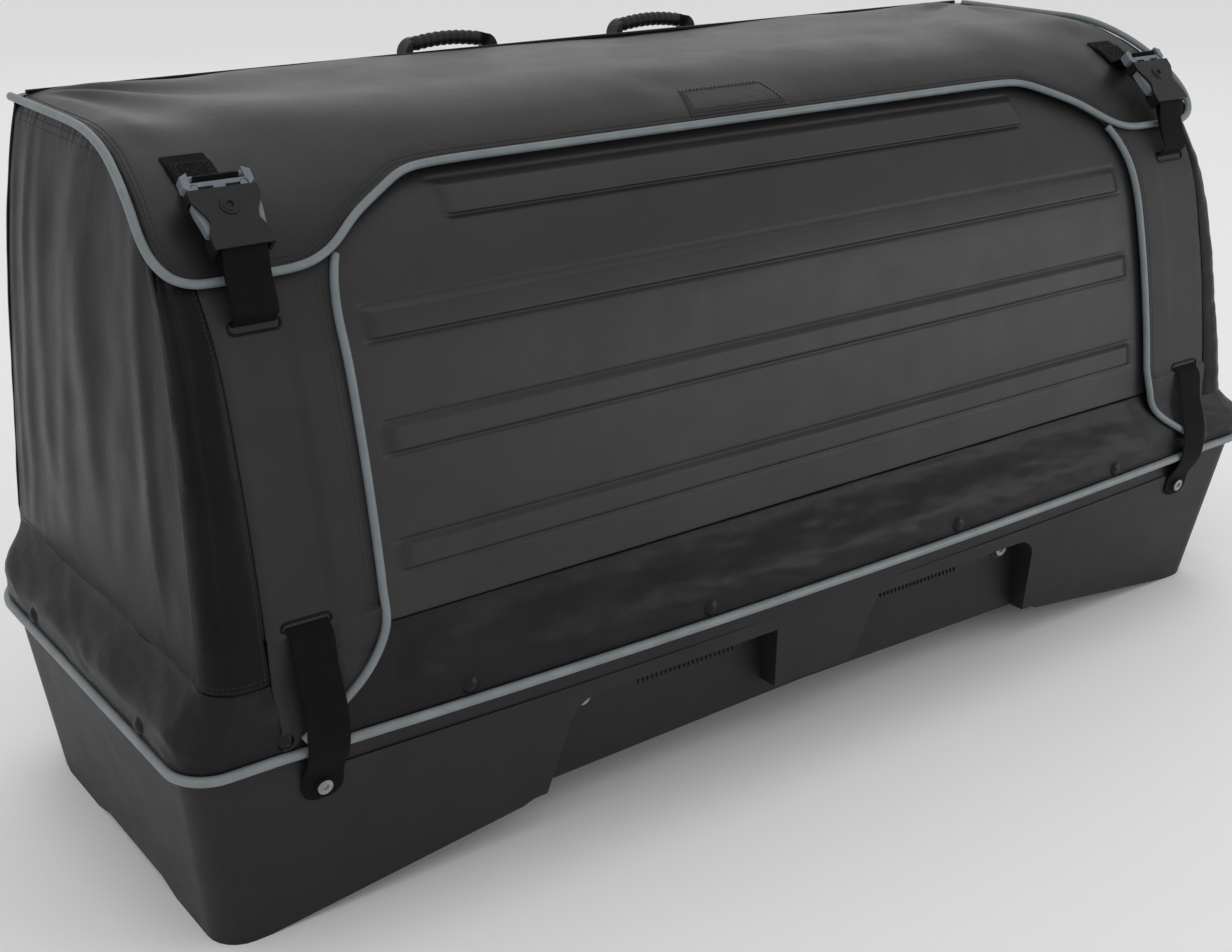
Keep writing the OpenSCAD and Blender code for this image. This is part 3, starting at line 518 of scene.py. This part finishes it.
def lid_rise(x, y):
    """How far the lid's cloth stands proud: slow waves, and folds that fan out of the rear corners."""
    rear_x, rear_y = 588, 203
    rise = 2.2 + 3.2 * soft_noise(x, y, 1, 190) + 1.2 * soft_noise(x, y, 2, 75)
    for side in (-1, 1):
        dx, dy = side * rear_x - x, rear_y - y
        reach = math.hypot(dx, dy)
        angle = math.atan2(dy, side * dx)
        fade = smooth(reach / 70) * math.exp(-(reach / 330) ** 2)
        rise += fade * 3.4 * math.sin(9.5 * angle + 2.2 * soft_noise(x, y, 3 + side, 150))
    near_strap = 1 - smooth((abs(abs(x) - STRAP_X) - 16) / 50)
    near_patch = 1 - smooth((abs(x) - 50) / 60)
    rise *= 1 - max(near_strap, near_patch) * smooth((10 - y) / 50)
    edge = min(lid_half(y) - abs(x), 0.8 * (y - lid_front(x)))
    pucker = 0.5 * soft_noise(x, y, 5, 9) * math.exp(-edge / 14)
    return max(rise, -1.2) * smooth(edge / 40) - 2.6 * math.exp(-(edge / 8) ** 2) + pucker


def on_lid(x, y, lift=0.0):
    """A point on the lid's cloth."""
    return (x, y, surface_z(y, LID_OUT + lid_rise(x, y) + lift))


def lid_point(u, v):
    """The lid from left to right and from its hinge line to its front edge."""
    side = 2 * u - 1
    x = side * LID_HALF
    y = LID_REAR_Y + (lid_front(x) - LID_REAR_Y) * v
    return on_lid(side * lid_half(y), y)


lid_rim = [(lid_half(y), y) for y in range(205, -124, -5)]
lid_rim += [(x, lid_front(x)) for x in (617, 614, 608, 602, 594, 586)]
lid_rim += [(x, lid_front(x)) for x in range(580, -1, -6)]
lid_rim += [(-x, y) for x, y in lid_rim[-2::-1]]


def lid_edge(inset, lift):
    """The lid's edge moved inwards along the cloth, as 3-D points."""
    rim = [Vector((x, y, surface_z(y, LID_OUT))) for x, y in lid_rim]
    moved = []
    for i, p in enumerate(rim):
        run = (rim[min(i + 2, len(rim) - 1)] - rim[max(i - 2, 0)]).normalized()
        ny, nz = outward(p.y)
        normal = Vector((0, ny, nz))
        moved.append(p - normal.cross(run) * inset + normal * lift)
    return moved


lid = grid_sheet("lid_cloth", lid_point, 240, 130, flip=True)
finish_piece(lid, ROOF, "flap_lid", "lid")
welt_path = rounded_off(evenly(lid_edge(-4.4, 0.2), 3.0), 5)
lid_welt = finish_piece(tube("lid_welt", welt_path, PIPING_R), PIPING, "flap_lid", "lid_piping")
lid_rows = [[on_lid(p.x, p.y, 0.1) for p in lid_edge(inset, 0)] for inset in (6.0, 9.5)]


PATCH_FRONT_Y, PATCH_DEPTH = -79.0, 36.0
PATCH_HALF, PATCH_TAPER = 62.0, 12.0
PATCH_WIDTH = 120.0                   # that its stitches are set out on


def patch_point(u, v):
    """The blank patch on the lid's front, narrower towards the rear."""
    y = PATCH_FRONT_Y + PATCH_DEPTH * v
    half = PATCH_HALF - PATCH_TAPER * v
    edge = min(u, 1 - u, v, 1 - v)
    return on_lid((2 * u - 1) * half, y, 0.6 + 0.7 * smooth(edge / 0.08))


patch = grid_sheet("front_patch", patch_point, 60, 24, 0.8)
finish_piece(patch, ROOF, "flap_lid", "lid_patch")


def patch_row(inset):
    """A stitch line round the patch, inside its edge."""
    steps = 20
    side_share, end_share = inset / PATCH_WIDTH, inset / PATCH_DEPTH
    edge = []
    for a, b in (((0, 0), (1, 0)), ((1, 0), (1, 1)), ((1, 1), (0, 1)), ((0, 1), (0, 0))):
        for k in range(steps):
            t = k / steps
            u = side_share + (1 - 2 * side_share) * (a[0] + (b[0] - a[0]) * t)
            v = end_share + (1 - 2 * end_share) * (a[1] + (b[1] - a[1]) * t)
            x, y, z = patch_point(u, v)
            edge.append((x, y, z + 0.3))
    return close_loop(edge)


lid_rows += [patch_row(2.6), patch_row(5.2)]


# ---- Skirt and hem ----
body_rows = []                        # stitch lines of the carrier's own cloth
FRONT_STEPS = 160


def level_ring(half, front, rear, bow, corner, rear_corner, spare=0.0):
    """Plan outline with round corners and a bowed front, anticlockwise from the front's left end."""
    half, front, rear = half + spare, front - spare, rear + spare
    corner, rear_corner = corner + spare, rear_corner + spare
    inner = half - corner
    ring = []
    for k in range(FRONT_STEPS):
        x = inner * (2 * k / FRONT_STEPS - 1)
        ring.append((x, front - bow * max(0.0, 1 - (x / BOW_HALF) ** 2)))
    inner_rear = half - rear_corner
    steps = 16
    for cx, cy, r, start, run in ((inner, front + corner, corner, -90, 0),
                                  (inner_rear, rear - rear_corner, rear_corner, 0, 50),
                                  (-inner_rear, rear - rear_corner, rear_corner, 90, 160),
                                  (-inner, front + corner, corner, 180, 50)):
        if run:
            previous = ring[-1]
            first = (cx + r * math.cos(math.radians(start)), cy + r * math.sin(math.radians(start)))
            ring += [(previous[0] + (first[0] - previous[0]) * k / run,
                      previous[1] + (first[1] - previous[1]) * k / run) for k in range(1, run)]
        for k in range(steps + 1):
            a = math.radians(start + 90 * k / steps)
            ring.append((cx + r * math.cos(a), cy + r * math.sin(a)))
    return ring[:-1]


def ring_normals(ring):
    """Unit (x, y) out of a ring at each of its points."""
    count = len(ring)
    normals = []
    for i in range(count):
        ax, ay = ring[i - 1]
        bx, by = ring[(i + 1) % count]
        length = math.hypot(bx - ax, by - ay)
        normals.append(((by - ay) / length, (ax - bx) / length))
    return normals


RING_PITCH = 9.0                      # millimetres from point to point that the skirt's folds count with
rim_ring = level_ring(**RIM)
waist_ring = level_ring(**WAIST)
rim_normals = ring_normals(rim_ring)
rivet_places = []
for _, side in SIDES:
    for x in RIVET_X:
        rivet_places.append((side * x, RIVET_FRONT_Y - RIM["bow"] * max(0, 1 - (x / BOW_HALF) ** 2)))
        rivet_places.append((side * x, RIM["rear"]))
    for y in RIVET_SIDE_Y:
        rivet_places.append((side * RIM["half"], y))


def in_front(i):
    """1 in front of the ribbed panel, 0 round the corners and behind."""
    x, y = waist_ring[i]
    return smooth((FREE_EDGE + 32 - abs(x)) / 20) if y < -190 else 0.0


def skirt_top(i):
    """Height of the skirt's top edge at a point of the ring."""
    return SKIRT_TOP_Z + (SKIRT_FRONT_TOP_Z - SKIRT_TOP_Z) * in_front(i)


def skirt_place(i, z, lift=0.0):
    """A point on the skirt: it bulges over the rim, held in at the rivets and flat under the corners."""
    (ax, ay), (bx, by) = rim_ring[i], waist_ring[i]
    nx, ny = rim_normals[i]
    top, middle = skirt_top(i), in_front(i)
    t = smooth((z - RIM_Z + 6) / (top - RIM_Z + 6))
    by += 2.0 * middle
    x, y = ax + (bx - ax) * t, ay + (by - ay) * t
    along = i * RING_PITCH
    rise = min(1.0, max(0.0, (z - HEM_Z) / (top - HEM_Z)))
    swell = math.sin(math.pi * rise) ** 0.7
    folds = 2.6 * soft_noise(along, z * 3.6, 51, 80) + 1.7 * soft_noise(along + 2 * z, z * 2.4, 52, 34)
    folds += 0.9 * soft_noise(along + z, z * 2, 53, 13)
    reaches = [math.hypot(math.hypot(ax - rx, ay - ry), z - RIVET_Z) for rx, ry in rivet_places]
    held = bump(min(reaches), 22)
    in_corner = smooth((abs(ax) - 470) / 20) * smooth((604 - abs(ax)) / 14) if ny < -0.5 else 0.0
    out = (2.2 * swell + folds * swell ** 0.7) * (1 - held) * (1 - in_corner)
    return x + nx * (out + lift), y + ny * (out + lift), z


ring_count = len(rim_ring)


def skirt_point(u, v):
    """The skirt, round the carrier and from its hem up."""
    i = round(u * ring_count) % ring_count
    return skirt_place(i, HEM_Z - 0.5 + (skirt_top(i) - HEM_Z + 0.5) * v)


skirt = grid_sheet("skirt_cloth", skirt_point, ring_count, 40, closed=True)
finish_piece(skirt, SKIRT, "carrier", "skirt")
body_rows.append(close_loop([skirt_place(i, HEM_Z + 4, 0.2) for i in range(ring_count)]))

hem_ring = level_ring(**RIM, spare=1.4)
hem_line = [(x, y, HEM_Z - 4.8 + 0.25 * soft_noise(i * RING_PITCH, 0, 61, 60))
            for i, (x, y) in enumerate(close_loop(hem_ring))]
hem_path = evenly(hem_line, 7.0)[:-1]
hem = finish_piece(tube("hem_welt", hem_path, HEM_R, 14, closed=True), HEM, "carrier", "hem_piping")


def skirt_front(x, z, lift=0.0):
    """Front face of the skirt at a place along it."""
    inner = RIM["half"] - RIM["corner"]
    i = min(FRONT_STEPS, max(0, round((x / inner + 1) * FRONT_STEPS / 2)))
    return skirt_place(i, z, lift)[1]


# ---- Corner panels ----
CORNER_FOOT_Z = 191.5
# The free edge from the hem up, as (height, distance from the middle).
FREE_EDGE_CORNERS = [(190, 588), (200, 573), (212, 555), (230, 523), (246, 501), (262, 491),
                     (284, FREE_EDGE), (524, FREE_EDGE), (560, 477), (CORNER_TOP_Z, 429)]
free_edge_line = rounded_off(evenly([(z, x, 0) for z, x in FREE_EDGE_CORNERS], 2.0), 8)
FREE_EDGE_PATH = [(p.x, p.y) for p in free_edge_line]


def corner_front(x, z):
    """Front face of the corner panel: the long curve above, and over the skirt below."""
    curve = surface_y(z, CORNER_OUT)
    if z > 285:
        return curve
    over_skirt = skirt_front(x, min(z, SKIRT_TOP_Z - 1), 1.9)
    return 0.5 * (curve + over_skirt - math.sqrt((curve - over_skirt) ** 2 + 4))


def corner_point(side):
    """A corner panel, from its free edge to its seam and from its foot up."""
    def place(u, v):
        z = CORNER_FOOT_Z + (CORNER_TOP_Z - CORNER_FOOT_Z) * v
        free = between(z, FREE_EDGE_PATH)
        x = free + (CORNER_SEAM - free) * u
        swell = 1.6 * math.sin(math.pi * u) * math.sin(math.pi * v)
        ripple = 0.8 * soft_noise(x, z, 11 + side, 75) + 0.4 * soft_noise(x * 0.4, z, 12 + side, 24)
        calm = smooth((abs(x - STRAP_X) - 18) / 14) * smooth((z - 230) / 50)
        seam = -1.0 * math.exp(-((1 - u) / 0.03) ** 2)
        out = (swell + ripple) * calm * smooth(u / 0.1) + seam
        return side * x, corner_front(side * x, z) - out, z
    return place


def slot_outline(z):
    """Rounded outline of a webbing slot at a height, as (x from the webbing's middle, z)."""
    half, r = STRAP_W / 2 + 2.2, 4.6
    outline = []
    for cx, start in ((half - r, -90), (r - half, 90)):
        for k in range(9):
            a = math.radians(start + 180 * k / 8)
            outline.append((cx + r * math.cos(a), r * math.sin(a)))
    return [(x, z + h) for x, h in outline]


def cut_slots(obj, side):
    """Cut the two webbing slots through a corner panel."""
    for k, z in enumerate(SLOT_HEIGHTS):
        rim = [(side * STRAP_X + x, h) for x, h in slot_outline(z)]
        count = len(rim)
        points = [(x, y, h) for y in (-300, -80) for x, h in rim]
        faces = [[i, (i + 1) % count, count + (i + 1) % count, count + i] for i in range(count)]
        faces += [list(range(count))[::-1], [count + i for i in range(count)]]
        cutter = mesh_object(f"cutter_{k}", points, faces)
        cut = obj.modifiers.new(f"slot_{k}", "BOOLEAN")
        cut.object = cutter
        cut.operation = "DIFFERENCE"
        cut.solver = "EXACT"
        apply_modifiers(obj)
        bpy.data.objects.remove(cutter)


def slot_lip(side, z):
    """Path of the thin raised lip round a slot."""
    rim = [Vector((x, 0, h)) for x, h in close_loop(slot_outline(z))]
    ring = evenly(rim, 1.6)[:-1]
    return [(side * STRAP_X + 1.03 * p.x, surface_y(p.z, CORNER_OUT + 0.3), p.z) for p in ring]


for name, side in SIDES:
    cloth = grid_sheet(f"{name}_corner_cloth", corner_point(side), 48, 160, flip=side < 0)
    cut_slots(cloth, side)
    finish_piece(cloth, SMOOTH_CLOTH, "carrier", f"{name}_corner_panel")
    for level, z in zip(("upper", "lower"), SLOT_HEIGHTS):
        lip = tube(f"{name}_{level}_slot_lip", slot_lip(side, z), 1.1, 8, closed=True)
        finish_piece(lip, TARP, "carrier")


# ---- Side walls ----
# Hanging folds of a side wall, as (y, slant, width, height).
SIDE_FOLDS = [(-112, 60, 15, 4.4), (-58, -30, 24, 3.0), (14, 46, 26, 4.0), (72, -30, 22, 3.4),
              (124, 22, 22, 4.2), (170, -12, 13, 4.6), (202, 8, 10, 3.0)]
WRAP = 0.17                           # share of the grid that goes round the front corner
BEND = FRONT_CORNER * math.pi / 2


def side_point(side):
    """The side wall, from its seam on the front, round the corner and back to the rear corner."""
    def wrapped(u, v):
        z = WALL_FOOT_Z + (CORNER_TOP_Z - WALL_FOOT_Z) * v
        half, front = side_face(z) - 1.5, surface_y(z, CORNER_OUT)
        straight = half - FRONT_CORNER - CORNER_SEAM
        run = u / WRAP * (straight + BEND)
        turn = max(0.0, run - straight) / FRONT_CORNER
        x = CORNER_SEAM + min(run, straight) + FRONT_CORNER * math.sin(turn)
        y = front + FRONT_CORNER * (1 - math.cos(turn))
        share = run / (straight + BEND)
        gather = soft_noise(share * 30, z, 31 + side, 24)
        gather += 0.6 * soft_noise(share * 50, z, 33 + side, 11)
        out = 1.5 * gather * math.sin(math.pi * min(1, share * 1.1)) * smooth(v / 0.05)
        out -= 2.0 * bump(share - 0.55 - 0.06 * soft_noise(z, 0, 35, 60), 0.07) * smooth(v / 0.2)
        out += 1.6 * bump(share - 0.75, 0.12) * (0.6 + soft_noise(z, 3, 36, 45))
        out -= 1.5 * math.exp(-(share / 0.08) ** 2) - 1.0
        tuck = 1 - smooth((1 - v) / 0.04)
        return x + (out - 2 * tuck) * math.sin(turn), y - (out - 1.5 * tuck) * math.cos(turn), z

    def flat(u, v):
        seam_y = surface_y(WALL_FOOT_Z + (CORNER_TOP_Z - WALL_FOOT_Z) * v, CORNER_OUT) + FRONT_CORNER
        top_seam = surface_y(CORNER_TOP_Z, CORNER_OUT) + FRONT_CORNER
        top = surface_z((1 - u) * top_seam + u * (REAR_HIGH - REAR_CORNER), -2.5)
        z = WALL_FOOT_Z + (top - WALL_FOOT_Z) * v
        y = (1 - u) * seam_y + u * (rear_face(z) - REAR_CORNER)
        hang = math.sin(math.pi * v) ** 0.6 if 0 < v < 1 else 0.0
        out = 2.0 * math.sin(math.pi * u) * math.sin(math.pi * v)
        for at, slant, width, height in SIDE_FOLDS:
            wander = at + slant * (v - 0.4) + 7 * soft_noise(at, z, 20 + side, 90)
            strength = 0.65 + 0.5 * soft_noise(z, at, 22 + side, 110)
            out += height * hang * bump(y - wander, width) * strength
        out += 1.5 * soft_noise(y, z, 24 + side, 70) + 0.7 * soft_noise(y, z * 0.5, 25 + side, 26)
        pucker = 1.0 * soft_noise(y, 0, 26 + side, 7) * math.exp(-((1 - v) / 0.035) ** 2)
        pucker += 0.6 * soft_noise(y, 0, 28 + side, 7) * math.exp(-(v / 0.02) ** 2)
        out *= smooth(min(u, 1 - u) / 0.06) * smooth((1 - v) / 0.06) * smooth(v / 0.05)
        return side_face(z) - 1.5 + out + pucker - 2.0 * (1 - smooth((1 - v) / 0.03)), y, z

    def place(u, v):
        x, y, z = wrapped(u, v) if u < WRAP else flat((u - WRAP) / (1 - WRAP), v)
        return side * x, y, z
    return place


for name, side in SIDES:
    cloth = grid_sheet(f"{name}_side_cloth", side_point(side), 180, 130, flip=side < 0)
    finish_piece(cloth, TARP, "carrier", f"{name}_wall")
    place = side_point(side)
    for v in (0.008, 0.02, 0.965, 0.98):
        body_rows.append([place(u / 120, v) for u in range(1, 119)])
    body_rows.append([place(0.012, v / 60) for v in range(1, 59)])


# ---- Rear wall ----
REAR_FOLDS = (-560, -505, -250, 30, 260, 512, 566)    # places along the wall


def rear_point(u, v):
    """The rear wall, round both rear corners, up, and over onto the roof as far as the lid."""
    roll = 9.0                        # radius where the wall turns onto the roof
    gap = 0.4                         # left before the lid's hinge line
    low, high = WALL_FOOT_Z, ROOF_Z + LID_OUT - roll
    reach_up, reach_in = high - low, REAR_HIGH - roll - LID_HINGE_Y - gap
    total = reach_up + roll * math.pi / 2 + reach_in
    run = v * total
    z = min(low + run, high)
    half = side_face(z)
    straight, bend = 2 * (half - REAR_CORNER), REAR_CORNER * math.pi / 2
    across = u * (straight + 2 * bend) - straight / 2 - bend
    side = 1 if across > 0 else -1
    turn = max(0.0, abs(across) - straight / 2) / REAR_CORNER
    x = side * (min(abs(across), straight / 2) + REAR_CORNER * math.sin(turn))
    y = rear_face(z) - REAR_CORNER * (1 - math.cos(turn))
    wave = 1.8 * soft_noise(x, z, 41, 120) + 0.8 * soft_noise(x, z, 42, 40)
    hang = math.sin(math.pi * min(1, v / 0.9))
    for at in REAR_FOLDS:
        wave += 1.6 * bump(x - at - 12 * soft_noise(z, at, 43, 90), 16) * hang
    near_handle = (1 - smooth((abs(abs(x) - HANDLE_X) - 60) / 30)) * smooth((z - 560) / 40)
    out = wave * smooth(v / 0.08) * smooth((high - z) / 30) * (1 - near_handle)
    out -= 2.0 * (1 - smooth(v / 0.05)) + 0.8
    x += side * out * math.sin(turn)
    y += out * math.cos(turn)
    past = run - reach_up
    if past > 0:
        angle = min(past / roll, math.pi / 2)
        y -= roll * (1 - math.cos(angle)) + max(0.0, past - roll * math.pi / 2)
        z += roll * math.sin(angle)
    return x, y, z


rear_cloth = grid_sheet("rear_cloth", rear_point, 260, 110, flip=True)
finish_piece(rear_cloth, TARP, "carrier", "rear_wall")


# ---- Piping down the corner panels ----
WELT_TOP, WELT_RUN = 0.918, 0.903     # shares of the corner panel's height
WELT_STEPS = 90
for name, side in SIDES:
    path = []
    for k in range(WELT_STEPS + 1):
        x, y, z = corner_point(side)(0.0, WELT_TOP - WELT_RUN * k / WELT_STEPS)
        path.append((x - side * 2.0, y - 1.8, z))
    welt = tube(f"{name}_panel_welt", rounded_off(evenly(path, 3.0), 4), PIPING_R)
    finish_piece(welt, PIPING, "carrier", f"{name}_panel_piping")
    for inset in (0.07, 0.11):
        body_rows.append([corner_point(side)(inset, v / 60) for v in range(12, 54)])


# ---- Ribbed front panel ----
def panel_point(u, v):
    """The ribbed panel from left to right and from its foot up under the lid."""
    top_y, low = -50.0, PANEL_FOOT_Z
    high = surface_z(top_y, PANEL_OUT)
    x = (2 * u - 1) * PANEL_HALF
    z = low + (high - low) * (1 - (1 - v) ** 1.18)
    out = PANEL_OUT + 0.35 * soft_noise(x, z, 71, 160)
    for at, half in RIBS:
        rise = smooth((RIB_W / 2 - abs(z - at)) / 3.2) * smooth((half - abs(x)) / 9)
        ditch = bump(abs(z - at) - RIB_W / 2 - 1.2, 1.7) * smooth((half + 2 - abs(x)) / 3)
        out += RIB_H * rise - 1.3 * ditch
    return x, surface_y(min(z, SHOULDER_CENTRE[1] + SHOULDER_RADIUS + out), out), z


ribbed = grid_sheet("ribbed_panel", panel_point, 260, 330, 2.6)
finish_piece(ribbed, RIBBED, "fold_panel", "front_panel")


# ---- Webbing ----
def on_buckle(u, v):
    """A place on the buckle, u down it and v out of it, as (y, z)."""
    cos, sin = math.cos(BUCKLE_TILT), math.sin(BUCKLE_TILT)
    return BUCKLE_Y - u * cos - v * sin, BUCKLE_Z - u * sin + v * cos


def loop_round(u, reach, angles):
    """Points round a bar at u: 0 degrees is up the buckle, 90 is out of it."""
    turns = [math.radians(a) for a in angles]
    return [on_buckle(u - reach * math.cos(t), reach * math.sin(t)) for t in turns]


WEB_T = 1.6
LOOP = 3.05 + WEB_T / 2               # middle of the webbing round a bar of the buckle
SEWN_OUT = LID_OUT + 0.9              # the layer sewn on the lid
SECOND_OUT = SEWN_OUT + WEB_T * 1.08  # and the one on top of it
BEHIND = -8                           # the webbing behind a corner panel
upper_path = [(y, surface_z(y, SEWN_OUT)) for y in (-50, -60, -72, -84)]
upper_path += loop_round(-30, LOOP, (-60, -90, -130, 180, 130, 90))
upper_path += [(y, surface_z(y, SECOND_OUT)) for y in (-92, -84, -72, -62)]
# Down from the buckle, in through the upper slot, behind the panel, out at the lower slot and to its bolt.
lower_path = [(-166.2, 541), (-160.2, 556)] + loop_round(31, LOOP, (-110, -90, -45, 0, 45, 90))
lower_path += [(-158.9, 576), (-160.8, 561), (-170, 534)]
lower_path += [(surface_y(525, 0.5), 526), (surface_y(517, BEHIND), 516)]
lower_path += [(surface_y(z, BEHIND), z) for z in range(500, 299, -40)]
lower_path += [(surface_y(292, BEHIND), 293), (surface_y(286, 0.5), 285)]
lower_path += [(-227.5, 276), (-231.5, 252), (-238, 234), (-243, 218), (-244.2, 200), (-243.6, 188),
               (-240, 176), (-233, 164), (-227.9, 154), (-224.8, 132)]


def strap_stitches(side, path_face):
    """An X in a box on sewn webbing; path_face(s) gives (y, z) for s from 0 to 1."""
    def line(ax, a, bx, b):
        steps = 14
        return [(ax + (bx - ax) * k / steps, a + (b - a) * k / steps) for k in range(steps + 1)]

    rows = []
    for inset in (0.0, 2.4):
        half = STRAP_W / 2 - 4 - inset
        low, high = 0.04 + inset / 60, 0.96 - inset / 60
        corners = [(-half, low), (half, low), (half, high), (-half, high), (-half, low)]
        rows += [line(*start, *stop) for start, stop in zip(corners, corners[1:])]
    half = STRAP_W / 2 - 6.5
    rows += [line(-half, 0.1, half, 0.9), line(half, 0.1, -half, 0.9)]
    return [[(side * STRAP_X + x, *path_face(s)) for x, s in row] for row in rows]


def sewn_face(s):
    """Top of the upper webbing's second layer, from its end towards the buckle, as (y, z)."""
    y = -62 - 24 * s
    return y, surface_z(y, SECOND_OUT + WEB_T / 2)


for name, side in SIDES:
    strap = ribbon(f"{name}_upper_webbing", upper_path, STRAP_W, WEB_T, side * STRAP_X)
    finish_piece(strap, WEBBING, "flap_lid", f"{name}_upper_strap")
    strap = ribbon(f"{name}_lower_webbing", lower_path, STRAP_W, WEB_T, side * STRAP_X, end_corner=13.0)
    finish_piece(strap, WEBBING, "carrier", f"{name}_lower_strap")
    lid_rows += strap_stitches(side, sewn_face)

lid_stitches = finish_piece(stitches("lid_stitches", lid_rows), THREAD, "flap_lid")
body_stitches = finish_piece(stitches("body_stitches", body_rows), THREAD, "carrier")


# ---- Moulded and metal parts: the CAD shapes with rounded edges ----
# What each side has, as (node without its side, material, width of the rounding).
MOULDED = (("handle", TUB, 1.8), ("buckle_frame", ACETAL_GREY, 0.6), ("buckle_housing", ACETAL, 0.7),
           ("outer_prong", ACETAL_GREY, 0.6), ("inner_prong", ACETAL_GREY, 0.6),
           ("buckle_stud", ACETAL, 0.4), ("ladder_strap", TUB, 0.45),
           ("strap_bolt", STEEL, 0.5), ("ladder_bolt", STEEL, 0.4))
finish_piece(softened("tub", "tub_moulding", 2.2), TUB, "carrier")
for name, _ in SIDES:
    for part, mat, width in MOULDED:
        node = f"{name}_{part}"
        finish_piece(softened(node, f"{node}_moulding", width), mat, node_body[node])


# ---- Ridged grips on the handles ----
GRIP_STEPS = 90
STEPS_PER_RIDGE = 8
grip_y = rear_face(GRIP_FOOT_Z) + GRIP_OUT
for name, side in SIDES:
    path, radii = [], []
    for k in range(GRIP_STEPS + 1):
        along = 2 * k / GRIP_STEPS - 1
        path.append((side * HANDLE_X + GRIP_HALF * along, grip_y, GRIP_Z + GRIP_RISE * (1 - along ** 2)))
        taper = 1 - 0.45 * smooth((abs(along) - 0.86) / 0.14)
        ridge = GRIP_RIDGE * math.sin(2 * math.pi * k / STEPS_PER_RIDGE)
        radii.append((GRIP_R + ridge) * taper)
    finish_piece(tube(f"{name}_handle_grip", path, radii, 20), TUB, "carrier")


# ---- CAD nodes that show as they are ----
recolour(RIVET, "front_rivets", "side_rivets", "rear_rivets")
recolour(BOARD, "rear_board", "lid_board")
recolour(TARP, "hinge_bead")
recolour(STEEL, "handle_screws", "strap_nuts", "ladder_nuts")
recolour(ROD, "left_hoop", "right_hoop")


# ---- Floor, light and camera ----
bpy.ops.mesh.primitive_plane_add(size=30, location=(0, 0, 0))
floor = bpy.context.object
floor.name = "floor"
pale = bpy.data.materials.new("floor")
pale.use_nodes = True
pale_shader = pale.node_tree.nodes["Principled BSDF"]
pale_shader.inputs["Base Color"].default_value = (0.94, 0.94, 0.94, 1)
pale_shader.inputs["Roughness"].default_value = 0.8
floor.data.materials.append(pale)

world = bpy.data.worlds.new("studio")
world.use_nodes = True
sky = world.node_tree.nodes["Background"]
sky.inputs["Color"].default_value = (1, 1, 1, 1)
sky.inputs["Strength"].default_value = 0.74
bpy.context.scene.world = world
bpy.context.scene.view_settings.view_transform = "Standard"


def softbox(name, at, aim, size, power):
    """A rectangular lamp aimed at a point, in metres and watts."""
    lamp = bpy.data.lights.new(name, "AREA")
    lamp.shape = "RECTANGLE"
    lamp.size, lamp.size_y = size
    lamp.energy = power
    obj = bpy.data.objects.new(name, lamp)
    obj.location = at
    obj.rotation_euler = (Vector(aim) - Vector(at)).to_track_quat("-Z", "Y").to_euler()
    bpy.context.scene.collection.objects.link(obj)


softbox("overhead", (0.2, 0.3, 3.2), (0, 0, 0.3), (2.6, 1.8), 9)
softbox("back_window", (2.2, 3.4, 2.2), (0, 0, 0.5), (4.0, 2.2), 9)
softbox("left_window", (-3.0, -0.6, 1.6), (0, 0, 0.3), (0.9, 2.0), 6)
softbox("right_window", (2.3, -2.5, 0.75), (0.2, 0, 0.35), (1.5, 1.2), 17)

CAMERA_AT = (-1.084317, -1.350458, 0.902418)
CAMERA_DOWN, CAMERA_TURN = 0.3791, 0.6337      # radians, below level and round from the front
camera = bpy.data.objects.new("camera", bpy.data.cameras.new("camera"))
camera.location = CAMERA_AT
camera.rotation_euler = (math.pi / 2 - CAMERA_DOWN, 0, -CAMERA_TURN)
camera.data.sensor_width = 36
camera.data.lens = 50.38
bpy.context.scene.collection.objects.link(camera)
bpy.context.scene.camera = camera
